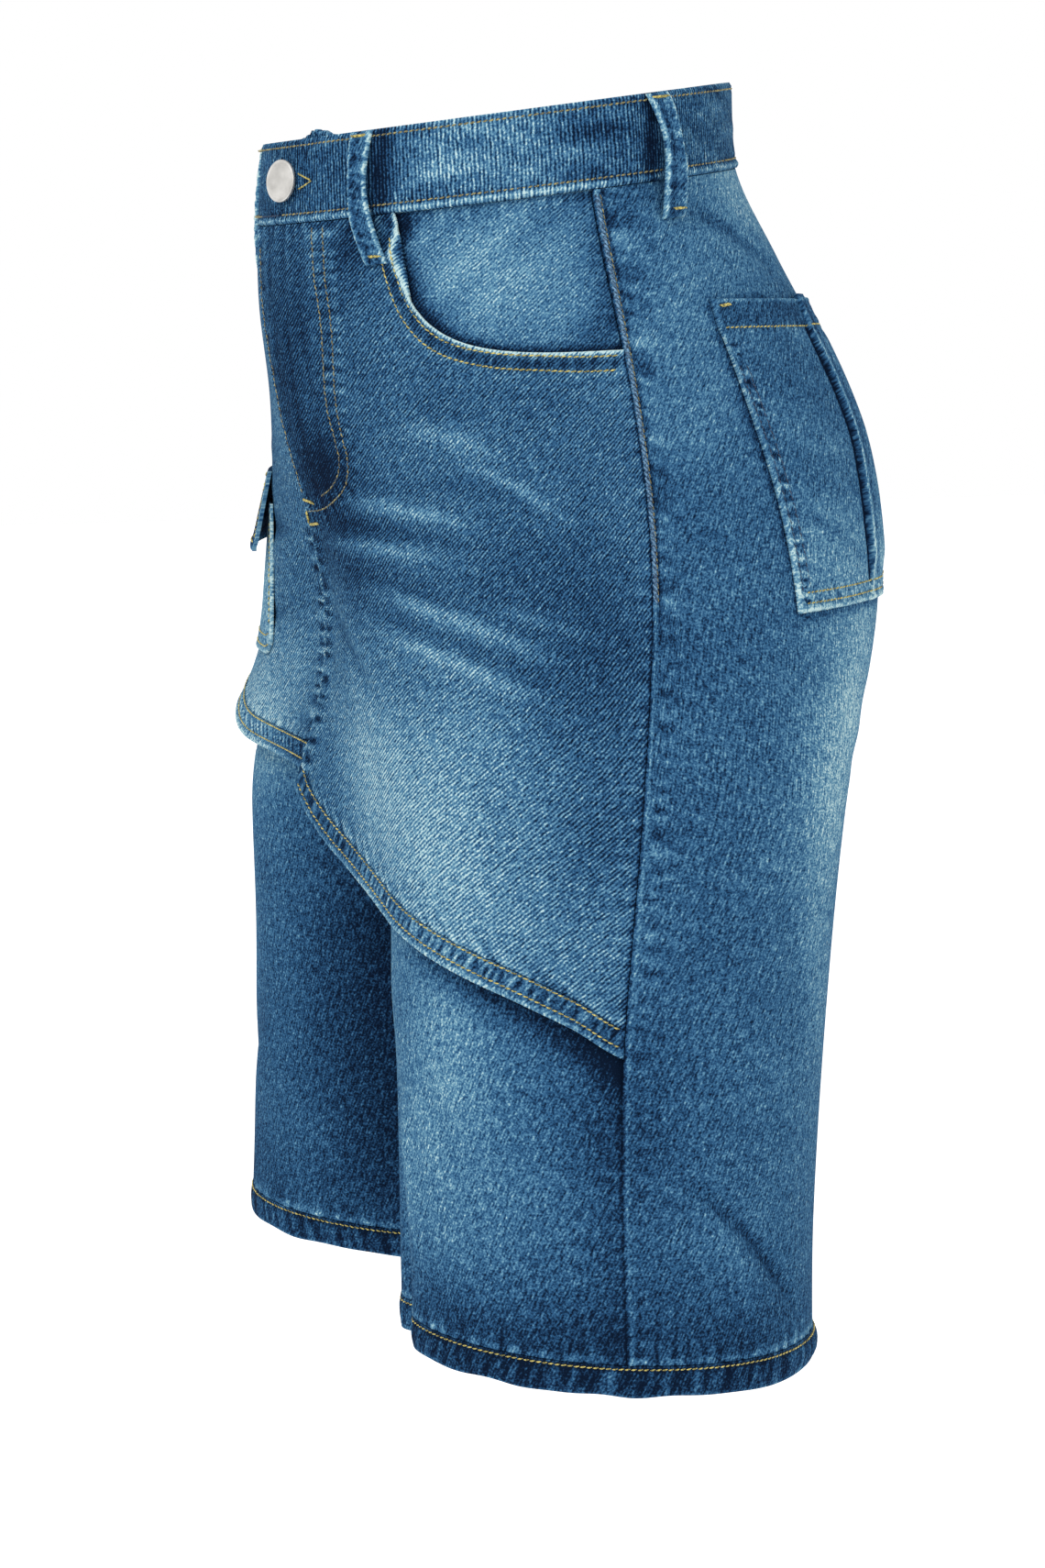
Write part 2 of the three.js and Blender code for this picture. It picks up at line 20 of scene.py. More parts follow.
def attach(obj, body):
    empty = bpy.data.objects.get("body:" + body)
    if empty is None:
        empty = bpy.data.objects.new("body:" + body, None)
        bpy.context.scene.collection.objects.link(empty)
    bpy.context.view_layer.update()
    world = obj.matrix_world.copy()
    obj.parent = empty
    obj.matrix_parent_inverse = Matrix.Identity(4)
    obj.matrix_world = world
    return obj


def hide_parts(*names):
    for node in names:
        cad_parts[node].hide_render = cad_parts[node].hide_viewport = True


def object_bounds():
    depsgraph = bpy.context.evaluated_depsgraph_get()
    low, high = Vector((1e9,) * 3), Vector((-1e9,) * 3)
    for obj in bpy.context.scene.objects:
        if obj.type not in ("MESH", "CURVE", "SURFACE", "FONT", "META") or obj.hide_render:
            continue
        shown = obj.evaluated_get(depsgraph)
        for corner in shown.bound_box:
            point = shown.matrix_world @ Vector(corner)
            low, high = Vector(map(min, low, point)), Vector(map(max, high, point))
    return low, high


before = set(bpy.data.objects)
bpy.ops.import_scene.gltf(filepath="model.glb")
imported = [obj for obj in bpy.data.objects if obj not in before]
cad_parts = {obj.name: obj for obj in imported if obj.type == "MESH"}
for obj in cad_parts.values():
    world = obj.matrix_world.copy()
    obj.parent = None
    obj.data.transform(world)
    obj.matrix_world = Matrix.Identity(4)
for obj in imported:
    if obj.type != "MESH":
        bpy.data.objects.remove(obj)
cad_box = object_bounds()
MM = 0.001
print("frame of", len(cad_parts), "nodes, from", *cad_box)

# %% [markdown]
# ## The form that the cloth lies on
#
# Every piece of cloth lies on one smooth form, so the form comes first. On a real
# pattern maker's stand the form is a padded torso. Here it is a stack of sections: each
# is an ellipse that is deeper behind than in front, given by how far it reaches to the
# side, to the front and to the back, and by how near it comes to the other leg. A place
# on the form is a level (height below the waistband's middle) and an angle round the leg
# (0 front, 90 side, 180 back, -90 or 270 between the legs).

# %% Tables and the curve through them
def table(columns, *rows):
    """Named columns of numbers, a row for each level or place."""
    return dict(zip(columns.split(), np.array(rows, float).T))


def through(rows, start, value, at):
    """A smooth curve through a table: a cubic whose slope at each row is that of the
    line between its two neighbours, held level beyond the ends."""
    turn = np.sign(rows[start][1] - rows[start][0])
    x = rows[start] * turn
    y = rows[value]
    last = len(x) - 1
    a = np.maximum(np.arange(last + 1) - 1, 0)
    b = np.minimum(np.arange(last + 1) + 1, last)
    slope = (y[b] - y[a]) / (x[b] - x[a])
    at = np.clip(np.asarray(at, float) * turn, x[0], x[-1])
    k = np.clip(np.searchsorted(x, at, side="left") - 1, 0, last - 1)
    span = x[k + 1] - x[k]
    f = (at - x[k]) / span
    bend = span * f * (1 - f) * ((1 - f) * slope[k] - f * slope[k + 1])
    return y[k] + (y[k + 1] - y[k]) * f * f * (3 - 2 * f) + bend


def ease(x, low, high):
    """0 below low, 1 above high, and a smooth S between them."""
    t = np.clip((x - low) / (high - low), 0, 1)
    return t * t * (3 - 2 * t)


def mix(a, b, t):
    return a + (b - a) * t


def bell(x, middle=0, width=1):
    """1 at its middle and almost nothing two widths off: the hump of folds and fades."""
    return np.exp(-np.square((x - middle) / width))


def spot(x, y, middle_x, middle_y, wide, tall):
    """A bell in two directions at once: a soft oval patch."""
    return bell(np.hypot((x - middle_x) / wide, (y - middle_y) / tall))


SECTIONS = table(
    "level side front back inner",
    (20, 123, 125.5, 91.5, -123),
    (-20, 125, 128, 96, -125),
    (-60, 137, 126.5, 118, -137),
    (-110, 153, 119, 148, -151),
    (-160, 167.5, 113.5, 164, -142),
    (-210, 176.5, 109.5, 162, -106),
    (-260, 181, 107.5, 142, -47),
    (-310, 184, 106.5, 121.5, 1.5),
    (-400, 190, 103, 108, 10),
    (-500, 197, 103, 98, 15),
    (-570, 202, 104, 95, 21),
)
CENTRE_FRONT = table(
    "level out",
    (-20, 1.5), (-90, 3), (-138, 2), (-166, -1), (-200, -5), (-235, -5), (-262, -1), (-300, 7),
)
CENTRE_REACH = 32
SIDE_SEAM = table(
    "level angle",
    (-20, 81), (-120, 83.5), (-200, 83), (-300, 78.5), (-420, 71.5), (-570, 71),
)
SKIRT_EDGE = {
    "left": table(
        "out level",
        (0, -304), (18, -320), (37, -331), (97, -352), (155, -375), (176, -390), (186, -405),
    ),
    "right": table(
        "out level",
        (0, -296), (50, -294), (95, -289), (125, -278), (150, -269), (180, -262),
    ),
}
SKIRT_FLARE = {
    "left": table("share out", (0, 6), (0.3, 5), (0.7, 4), (1, 0)),
    "right": table("share out", (0, 1), (0.5, 10), (0.75, 7), (1, 0)),
}
WAIST_TILT = np.tan(np.radians(8.1))
TILT_ENDS = -250
WIDEST_BEHIND = 15
SEAM_GAP = 0.35
LEG_HEM_LEVEL = -560.5
LEG_HEM_RISE = 8  # lower at the back than in front
FLY_LAP = 14
FLY_STRAIGHT = -100
FLY_END = -168
FLARE_HEIGHT = 70  # how high above its edge the skirt starts to stand off
print("form from level", SECTIONS["level"][0], "to", SECTIONS["level"][-1])

# %% Places on the form
def section(level):
    """Centre, half width, front depth and back depth of the leg's ellipse at a level."""
    side, inner, front, back = [
        through(SECTIONS, "level", key, level) for key in ("side", "inner", "front", "back")
    ]
    return (side + inner) / 2, (side - inner) / 2, front, back


def placed(level, x, y):
    """A point of a flat section at its height: the waist's tilt lifts what is behind."""
    flat = np.clip((level - TILT_ENDS) / -TILT_ENDS, 0, 1)
    z = level + WAIST_TILT * (flat * y + WIDEST_BEHIND)
    return np.stack(np.broadcast_arrays(x, y + WIDEST_BEHIND, z), -1)


def front_depth(front, level, x):
    out = through(CENTRE_FRONT, "level", "out", level)
    return front + out * bell(x / CENTRE_REACH)


def on_form(level, angle):
    """x = centre + half width * sin(angle); y = -depth * cos(angle), with one depth
    in front and another behind."""
    centre, half, front, back = section(level)
    turn = np.radians(angle)
    x = centre + half * np.sin(turn)
    along = np.cos(turn)
    depth = np.where(along > 0, front_depth(front, level, x), back)
    return placed(level, x, -depth * along)


def on_skirt(level, angle):
    """As the form, but straight across between the legs."""
    centre, half, front, _ = section(level)
    x = centre + half * np.sin(np.radians(angle))
    along = np.cos(np.radians(np.maximum(angle, 0)))
    return placed(level, x, -front_depth(front, level, x) * along)


def angle_at(level, out):
    """The angle at which a section crosses a distance out from the centre."""
    centre, half, _, _ = section(level)
    return np.degrees(np.arcsin(np.clip((out - centre) / half, -1, 1)))


def side_seam(level):
    return through(SIDE_SEAM, "level", "angle", level)


def seam_turn(level):
    """Degrees that make half a seam gap."""
    return np.degrees(SEAM_GAP / 2 / section(level)[1])


def leg_hem_level(angle):
    return LEG_HEM_LEVEL + LEG_HEM_RISE * np.cos(np.radians(angle))


def skirt_centre(hand, level):
    """The skirt front's centre edge: past the middle along the fly, then on the seam."""
    lap = FLY_LAP * ease(level, FLY_END, FLY_STRAIGHT)
    return SEAM_GAP / 2 + (-lap if hand == "left" else lap)


def skirt_angle(hand, level, share):
    """Columns evenly spaced across: straight to the leg's middle, then round the leg."""
    centre, half, _, _ = section(level)
    seam = np.radians(side_seam(level) - seam_turn(level)) * half
    along = mix(skirt_centre(hand, level) - centre, seam, share)
    return np.where(along < 0, angle_at(level, centre + along), np.degrees(along / half))


def skirt_edge_level(hand, share):
    """Steps toward the lower edge until the point's own distance out agrees with it."""
    level = np.full(np.shape(share), through(SKIRT_EDGE[hand], "out", "level", 100.0))
    for _ in range(16):
        out = on_skirt(level, skirt_angle(hand, level, share))[..., 0]
        level = mix(level, through(SKIRT_EDGE[hand], "out", "level", out), 0.6)
    return level


def skirt_flare(hand, share, level):
    """How far the skirt stands off the form as it nears its lower edge."""
    fall = 1 - (level - skirt_edge_level(hand, share)) / FLARE_HEIGHT
    return through(SKIRT_FLARE[hand], "share", "out", share) * np.clip(fall, 0, 1) ** 2

# %% [markdown]
# ## From places to cloth
#
# A cloth piece is a closed wall: an outer face, an inner face and four narrow edges. It
# could be a flat sheet with a Solidify modifier, but then the layers of a garment, which
# lie a millimetre apart, would be hard to keep clear of each other. So each piece is a
# grid of places, a level and an angle for every point, and two depths measured along the
# form's outward normal, one for each face. The same call stores what the denim material
# reads: a UV map in metres along the cloth, and two attributes, one for how faded the
# cloth is, with painted light and shade added in places, and `ridge` (how high the cloth
# stands in its own puckers, where wear shows first).

# %% The wall of cloth
def unit(vectors):
    """The same directions, each of length one."""
    return vectors / np.maximum(np.linalg.norm(vectors, axis=-1, keepdims=True), 1e-9)


def outward(surface, level, angle):
    """The unit normal: (step down the form) x (step round it)."""
    step = 0.05
    across = surface(level, angle + step) - surface(level, angle - step)
    down = surface(level - step, angle) - surface(level + step, angle)
    return unit(np.cross(down, across))


def wall_faces(nu, nv, ring):
    """Quads of a closed wall whose points are numbered face, column, row."""
    def at(face, i, j):
        return face * nu * nv + (i % nu) * nv + j

    def quads(a, b, c, d):
        return np.stack(np.broadcast_arrays(a, b, c, d), -1).reshape(-1, 4)

    i = np.arange(nu if ring else nu - 1)
    j = np.arange(nv - 1)
    I, J = np.meshgrid(i, j, indexing="ij")
    faces = [
        quads(at(1, I, J), at(1, I, J + 1), at(1, I + 1, J + 1), at(1, I + 1, J)),
        quads(at(0, I, J), at(0, I + 1, J), at(0, I + 1, J + 1), at(0, I, J + 1)),
        quads(at(0, i, 0), at(1, i, 0), at(1, i + 1, 0), at(0, i + 1, 0)),
        quads(at(0, i, nv - 1), at(0, i + 1, nv - 1), at(1, i + 1, nv - 1), at(1, i, nv - 1)),
    ]
    if not ring:
        end = nu - 1
        faces.append(quads(at(0, 0, j), at(0, 0, j + 1), at(1, 0, j + 1), at(1, 0, j)))
        faces.append(quads(at(0, end, j), at(1, end, j), at(1, end, j + 1), at(0, end, j + 1)))
    return np.concatenate(faces)


def mesh_object(name, points, faces, corner_uv=None, attributes=None, sharp=40):
    """A smooth-shaded mesh from arrays: points in millimetres, faces of equal size."""
    mesh = bpy.data.meshes.new(name)
    count, size = faces.shape
    mesh.vertices.add(len(points))
    mesh.vertices.foreach_set("co", (points * MM).astype(np.float32).ravel())
    mesh.loops.add(count * size)
    mesh.loops.foreach_set("vertex_index", faces.astype(np.int32).ravel())
    mesh.polygons.add(count)
    mesh.polygons.foreach_set("loop_start", np.arange(0, count * size, size, dtype=np.int32))
    mesh.update(calc_edges=True)
    mesh.validate()
    mesh.shade_smooth()
    mesh.set_sharp_from_angle(angle=np.radians(sharp))
    if corner_uv is not None:
        layer = mesh.uv_layers.new(name="cloth")
        layer.data.foreach_set("uv", corner_uv.astype(np.float32).ravel())
    for key, values in (attributes or {}).items():
        layer = mesh.attributes.new(key, "FLOAT", "POINT")
        layer.data.foreach_set("value", np.asarray(values, np.float32).ravel())
    made = bpy.data.objects.new(name, mesh)
    bpy.context.scene.collection.objects.link(made)
    return made


def flat_place(level, angle):
    """A place laid flat, in millimetres: (distance round from the middle, level)."""
    centre, half, _, _ = section(level)
    return np.stack(np.broadcast_arrays(centre + np.radians(angle) * half, level), -1)


def corner_places(level, angle, faces, ring):
    """UV in metres for each corner of each face. The faces that close a ring read their
    far column a full turn on, so that the weave doesn't run backwards there."""
    corner_uv = np.tile(flat_place(level, angle).reshape(-1, 2), (2, 1))[faces] * MM
    if ring:
        ahead = np.tile(flat_place(level, angle + 360).reshape(-1, 2), (2, 1))[faces] * MM
        column = faces % level.size // level.shape[1]
        closing = column.max(1, keepdims=True) - column > 1
        corner_uv = np.where(closing[..., None], ahead, corner_uv)
    return corner_uv


def wall(name, surface, level, angle, inner, outer, wash_and_shade, ridge, hand, ring):
    """Closed cloth: surface(level, angle) moved along its normal by inner and outer."""
    middle = surface(level, angle)
    normal = outward(surface, level, angle)
    shape = level.shape
    faces = wall_faces(*shape, ring)
    points = np.concatenate([
        (middle + normal * np.broadcast_to(depth, shape)[..., None]).reshape(-1, 3)
        for depth in (inner, outer)
    ])
    corner_uv = corner_places(level, angle, faces, ring)
    if hand == "right":
        points = points * [-1, 1, 1]
        faces = faces[:, ::-1]
        corner_uv = corner_uv[:, ::-1] * [-1, 1]
    tones = {
        "wash_and_shade": np.tile(np.broadcast_to(wash_and_shade, shape).ravel(), 2),
        "ridge": np.tile(np.broadcast_to(ridge, shape).ravel(), 2),
    }
    return mesh_object(name, points, faces, corner_uv, tones)


def crowded(start, end, size, crowd):
    """Steps of about a size from start to end, closer together near both ends."""
    count = max(int(np.ceil(abs(end - start) / size)), 3)
    t = np.linspace(0, 1, count + 1)
    return start + (end - start) * (t - crowd * np.sin(2 * np.pi * t) / (2 * np.pi))


def shares(columns, rows, crowd=0.4, crowd_down=None):
    """A grid of two shares from 0 to 1, columns by rows, closer near its edges."""
    across = crowded(0, 1, 1 / columns, crowd)
    down = crowded(0, 1, 1 / rows, crowd if crowd_down is None else crowd_down)
    return np.meshgrid(across, down, indexing="ij")


# %% [markdown]
# ## Folds, puckers and wash
#
# Jeans fabric shows three kinds of relief. Long soft creases run where the body bends,
# and they are placed one by one, each a ridge or trough along a line that dies away at its
# ends. Short puckers crowd along every seam, because the thread draws the layers up.
# And the wash follows both: what stands proud is rubbed pale, what lies deep stays dark.
# Sculpting could make all this, but a short table can be read and changed.

# %% Creases, fades and painted shading
TURN_MM = 2.35  # millimetres round the form for a degree, near enough for folds and fades

CREASES = {
    "left": table(
        "level_a angle_a level_b angle_b wide high pale",
        (-122, 30, -136, 56, 7, 1.0, 0.20),
        (-135, 44, -174, 70, 4, 0.7, 0.17),
        (-157, 8, -170, 50, 5, 1.2, 0.25),
        (-180, -2, -186, 48, 5, 1.1, 0.22),
        (-196, 10, -232, 66, 6, 1.3, 0.25),
        (-218, 12, -251, 62, 6, 1.2, 0.22),
        (-206, 44, -222, 74, 4, 0.6, 0.14),
        (-171, -2, -178, 44, 6, -1.2, -0.14),
        (-191, 2, -212, 48, 6, -1.1, -0.12),
        (-208, 8, -242, 60, 6, -0.9, -0.10),
        (-212, -14, -262, 8, 9, -1.4, -0.12),
        (-146, 30, -160, 62, 5, -0.8, -0.10),
        (-30, 103, -68, 136, 6, -1.8, -0.20),
        (-458, 85, -538, 130, 5, -2.8, -0.22),
        (-474, 90, -546, 116, 12, 1.8, 0.05),
        (-424, -16, -640, -9, 16, -8.0, 0.0),
        (-488, -60, -640, -50, 11, 4.0, 0.04),
        (-330, 112, -396, 128, 7, -1.0, -0.06),
        (-270, 96, -292, 122, 7, -0.8, -0.04),
        (-236, 108, -252, 150, 9, -1.2, -0.05),
        (-262, 150, -276, 196, 9, -2.0, -0.06),
        (-284, 148, -306, 206, 8, -1.6, -0.05),
        (-250, 176, -266, 214, 7, -1.8, -0.06),
        (-420, 4, -470, 30, 10, -1.4, -0.08),
        (-436, -8, -512, 6, 12, 2.0, 0.08),
        (-476, 178, -530, 214, 9, -1.8, -0.06),
    ),
    "right": table(
        "level_a angle_a level_b angle_b wide high pale",
        (-136, 24, -148, 56, 5, 0.9, 0.20),
        (-156, 18, -170, 50, 6, 1.1, 0.24),
        (-190, 10, -214, 48, 7, 1.3, 0.26),
        (-204, 34, -240, 64, 6, 0.8, 0.18),
        (-176, 2, -190, 36, 7, -1.2, -0.20),
        (-216, -10, -246, 36, 7, -1.1, -0.12),
        (-446, 90, -500, 122, 7, -2.2, -0.12),
        (-340, 104, -388, 124, 7, -1.0, -0.06),
        (-240, 112, -258, 154, 9, -1.3, -0.05),
        (-266, 148, -280, 192, 9, -1.9, -0.06),
        (-290, 150, -310, 200, 8, -1.5, -0.05),
        (-256, 172, -270, 216, 7, -1.7, -0.06),
        (-430, 0, -486, 26, 11, -1.6, -0.08),
        (-470, 182, -536, 216, 9, -1.7, -0.06),
    ),
}

FADES_OF_BOTH = (
    (-540, 50, 26, 160, 0, -0.16),
    (-262, 137, 86, 46, 0, 0.38),
    (-160, 146, 60, 60, 0, 0.10),
    (-400, 140, 100, 44, 0, 0.16),
)
FADES_AND_PAINTED_SHADING = {
    "left": table(
        "level angle tall wide lean amount", *FADES_OF_BOTH,
        (-296, 6, 52, 95, 14, 0.32),
        (-262, 40, 46, 60, 24, 0.10),
        (-215, 64, 44, 34, 0, -0.14),
        (-532, 40, 26, 70, 0, -0.10),
        (-548, 104, 30, 70, 0, -0.08),
        (-345, 34, 34, 60, 10, 0.10),
        (-424, 14, 66, 52, 0, 0.24),
        (-478, 30, 60, 60, 0, 0.08),
        (-24, 134, 34, 60, 14, 0.32),
        (-150, 10, 26, 26, 10, -0.22),
        (-95, 6, 60, 28, 0, -0.22),
        (-185, 0, 18, 60, 14, -0.14),
        (-230, -30, 40, 50, 10, -0.10),
        (-300, 68, 90, 34, 0, -0.06),
        (-430, 74, 60, 34, 0, -0.12),
        (-470, 104, 60, 50, 0, 0.03),
        (-362, 66, 40, 44, 0, 0.12),
        (-70, 108, 40, 44, 10, 0.09),
        (-114, 94, 40, 26, 0, 0.10),
        # Painted light on the leg's front edge, where it turns away from the lamps.
        (-400, -18, 90, 26, 0, 0.16),
    ),
    "right": table(
        "level angle tall wide lean amount", *FADES_OF_BOTH,
        (-284, 6, 44, 90, 12, 0.34),
        (-236, 34, 40, 60, 24, 0.16),
        (-420, 20, 80, 50, 0, 0.14),
        (-95, 8, 60, 24, 0, 0.08),
        (-24, 134, 24, 60, 14, 0.26),
        # Painted shade on the inner side of the far leg.
        (-420, -60, 130, 70, 0, -0.33),
        (-480, 20, 60, 70, 0, -0.06),
    ),
}
BASE_WASH = 0.39


def along_crease(rows, k, level, angle):
    """The soft hump of crease k: a bell across its line, tapering to both ends."""
    a = np.array([rows["angle_a"][k] * TURN_MM, rows["level_a"][k]])
    b = np.array([rows["angle_b"][k] * TURN_MM, rows["level_b"][k]])
    line = b - a
    x, y = angle * TURN_MM - a[0], level - a[1]
    t = (x * line[0] + y * line[1]) / (line @ line)
    off = (x * line[1] - y * line[0]) / np.hypot(*line)
    off += 4 * np.sin(np.pi * t)  # creases sag a little in their middle
    taper = ease(t, -0.15, 0.35) * (1 - ease(t, 0.6, 1.2))
    return bell(off / rows["wide"][k]) * taper


def crease_sum(rows, key, level, angle, sharpness=1):
    """The sum of a table's creases, each as strong as its column says."""
    return sum(
        rows[key][k] * along_crease(rows, k, level, angle) ** sharpness
        for k in range(len(rows[key]))
    )


def folds(hand, level, angle):
    """Relief of the long creases, in millimetres."""
    return crease_sum(CREASES[hand], "high", level, angle)


def wash_and_shade_at(hand, level, angle):
    """How faded the cloth is, with painted light and shade in some patches: a base, soft leaning
    patches, and the pale creases.
    """
    rows = FADES_AND_PAINTED_SHADING[hand]
    tone = BASE_WASH + np.zeros(np.shape(level))
    for k in range(len(rows["amount"])):
        lean = np.radians(rows["lean"][k])
        x = (angle - rows["angle"][k]) * TURN_MM
        y = level - rows["level"][k]
        across = x * np.cos(lean) - y * np.sin(lean)
        along = x * np.sin(lean) + y * np.cos(lean)
        patch = spot(across, along, 0, 0, rows["wide"][k], rows["tall"][k])
        tone += rows["amount"][k] * patch
    return tone + crease_sum(CREASES[hand], "pale", level, angle, 1.8)


def uneven(s, length, seed):
    """A wave of about a length whose crests come early and late, from -1 to 1."""
    a = 2 * np.pi * s / length
    slow = np.sin(a / 5.3 + 1.7 * seed) + 0.6 * np.sin(a / 3.1 + 2.9 * seed)
    return 0.62 * np.sin(a + 1.6 * slow + seed) + 0.38 * np.sin(1.73 * a + 2.2 * slow + 4 * seed)


def drawn_up(distance, along, width, length, seed):
    """Puckers beside a seam: uneven waves along it that die away across a width."""
    return uneven(along, length, seed) * bell(distance / width)


def puckered(seed, *rows):
    """The puckers of several seams: how high, then what drawn_up needs for each."""
    return sum(high * drawn_up(*row, seed + k) for k, (high, *row) in enumerate(rows))


# %% Lines on the cloth
def running(points):
    """How far along its own path each point lies, from 0."""
    return np.concatenate([[0], np.cumsum(np.linalg.norm(np.diff(points, axis=0), axis=1))])


def line(*places):
    """A smooth line through given places, as places a millimetre apart."""
    places = np.array(places, float)
    run = running(places * [1, TURN_MM])
    rows = {"run": run, "level": places[:, 0], "angle": places[:, 1]}
    at = np.linspace(0, run[-1], max(int(run[-1]), 2))
    return through(rows, "run", "level", at), through(rows, "run", "angle", at)


def line_out(*places):
    """As line, for places given by level and distance out from the centre front."""
    level, out = np.array(places, float).T
    return line(*zip(level, angle_at(level, out)))


def beside(path, level, angle):
    """How far each place lies from a line (to its left is positive) and how far along."""
    points = flat_place(*path)
    a, b = points[:-1], points[1:]
    run = running(points)[:-1]
    places = flat_place(level, angle)
    best = np.full(places.shape[:-1], 1e9)
    side = np.zeros(best.shape)
    along = np.zeros(best.shape)
    for start, end, before in zip(a, b, run):
        step = end - start
        length = np.hypot(*step)
        away = places - start
        t = np.clip(away @ step / length**2, 0, 1)
        distance = np.linalg.norm(away - t[..., None] * step, axis=-1)
        nearer = distance < best
        turn = np.sign(step[0] * away[..., 1] - step[1] * away[..., 0])
        side = np.where(nearer, turn, side)
        along = np.where(nearer, before + t * length, along)
        best = np.where(nearer, distance, best)
    return best * side, along

# %% [markdown]
# ## Denim and thread
#
# Denim is a twill: a blue warp over a white weft, stepping one thread sideways on each
# row, so fine diagonal lines run up to the right. Washing rubs the blue off the high
# threads and leaves a salt-and-pepper speckle. One material function makes every wash of
# it. It reads the cloth's own UV map, in metres, so the twill stays at its real scale,
# and the two attributes stored on each piece.

# %% Node helpers
def new_material(name, roughness, metallic=0.0):
    material = bpy.data.materials.new(name)
    material.use_nodes = True
    shader = material.node_tree.nodes["Principled BSDF"]
    shader.inputs["Roughness"].default_value = roughness
    shader.inputs["Metallic"].default_value = metallic
    return material, material.node_tree, shader


def node(tree, kind, inputs=None, **settings):
    """Adds a node; inputs are numbers to set or sockets to link, by name or place."""
    made = tree.nodes.new("ShaderNode" + kind)
    for key, value in settings.items():
        setattr(made, key, value)
    for key, value in (inputs or {}).items():
        socket = made.inputs[key]
        if isinstance(value, bpy.types.NodeSocket):
            tree.links.new(value, socket)
        else:
            socket.default_value = value
    return made


def sums(tree, operation, *values):
    """A chain of the same Math operation over sockets and numbers."""
    total = values[0]
    for value in values[1:]:
        total = node(tree, "Math", {0: total, 1: value}, operation=operation).outputs[0]
    return total


def ramp(tree, factor, stops):
    made = node(tree, "ValToRGB", {"Fac": factor})
    elements = made.color_ramp.elements
    while len(elements) < len(stops):
        elements.new(0.5)
    for element, (place, colour) in zip(elements, stops):
        element.position = place
        element.color = (*colour, 1)
    return made.outputs["Color"]


def bump(tree, shader, height, strength, distance):
    made = node(tree, "Bump", {"Height": height, "Strength": strength, "Distance": distance})
    tree.links.new(made.outputs["Normal"], shader.inputs["Normal"])


def speckle(tree, scale, detail):
    """Noise fixed to the object, so it stays where it is when the piece moves."""
    place = node(tree, "TexCoord").outputs["Object"]
    inputs = {"Vector": place, "Scale": scale, "Detail": detail}
    return node(tree, "TexNoise", inputs).outputs["Fac"]


def linear(red, green, blue):
    """A screen colour, 0 to 255, as the linear light that shaders use."""
    c = np.array([red, green, blue]) / 255
    return tuple(np.where(c <= 0.04045, c / 12.92, ((c + 0.055) / 1.055) ** 2.4))


# %% Denim
INDIGO = (
    (0.00, linear(8, 20, 38)),
    (0.20, linear(20, 45, 73)),
    (0.42, linear(39, 78, 113)),
    (0.62, linear(68, 110, 140)),
    (0.80, linear(104, 145, 163)),
    (1.00, linear(172, 196, 197)),
)


def denim(name, lines, lean, marked, deeper=0.0, slubs=0.75):
    """Washed indigo twill: the stored tone (fading, with painted light and shade in places) +
    speckle + ridge through one ramp from navy to pale.

    lines to the metre, leaning this many degrees up from the grain across, and marked
    more or less clearly; deeper takes some of the wash away, and slubs are the thicker
    stretches of thread that run along those lines.
    """
    material, tree, shader = new_material(name, 0.95)
    uv = node(tree, "UVMap", uv_map="cloth").outputs["UV"]
    wash_and_shade = node(tree, "Attribute", attribute_name="wash_and_shade").outputs["Fac"]
    ridge = node(tree, "Attribute", attribute_name="ridge").outputs["Fac"]
    across = node(
        tree, "Mapping", {"Vector": uv, "Rotation": (0, 0, np.radians(90 - lean))}
    ).outputs["Vector"]

    def noise(scale, place=uv, along=1.0, detail=2.0):
        place = node(tree, "Mapping", {"Vector": place, "Scale": (1, along, 1)}).outputs["Vector"]
        inputs = {"Vector": place, "Scale": scale, "Detail": detail, "Roughness": 0.6}
        return node(tree, "TexNoise", inputs, noise_dimensions="2D").outputs["Fac"]

    grain = noise(900)
    slub = noise(640, across, 0.28)
    blotch = noise(400)
    cloud = noise(24, detail=3.0)
    twill = node(
        tree, "TexWave", {"Vector": across, "Scale": lines * np.pi / 10, "Distortion": 2.2,
                          "Detail": 1.0, "Detail Scale": 1.1}, wave_profile="SIN",
    ).outputs["Fac"]

    tone = sums(tree, "ADD", wash_and_shade, -deeper)
    for value, amount in (
        (grain, 1.05), (slub, slubs), (blotch, 0.34), (cloud, 0.20), (twill, marked),
    ):
        away = sums(tree, "SUBTRACT", value, 0.5)
        tone = sums(tree, "ADD", tone, sums(tree, "MULTIPLY", away, amount))
    tone = sums(tree, "ADD", tone, sums(tree, "MULTIPLY", ridge, 0.34))
    tree.links.new(ramp(tree, tone, INDIGO), shader.inputs["Base Color"])

    height = sums(tree, "ADD", sums(tree, "MULTIPLY", twill, marked), grain)
    bump(tree, shader, height, 0.5, 0.0005)
    shader.inputs["Specular IOR Level"].default_value = 0.02
    return material


DENIM = denim("washed_denim", 700, 68, 0.12)
DENIM_FRONT = denim("washed_denim_twill", 610, 43, 0.40, 0.0, 0.65)
DENIM_FACING = denim("faded_denim_twill", 610, 46, 0.26, 0.0, 0.40)
DENIM_BAND = denim("ribbed_denim", 560, 96, 0.42, 0.03)
DENIM_DARK = denim("darker_denim", 610, 50, 0.16, 0.05)


def twisted_thread(name, dark, light):
    """Spun thread: fine stripes across the stitch between two close colours."""
    material, tree, shader = new_material(name, 0.6)
    grain = speckle(tree, 900.0, 2.0)
    tree.links.new(ramp(tree, grain, ((0.35, dark), (0.65, light))), shader.inputs["Base Color"])
    bump(tree, shader, grain, 0.4, 0.0002)
    shader.inputs["Sheen Weight"].default_value = 0.1
    shader.inputs["Specular IOR Level"].default_value = 0.25
    return material


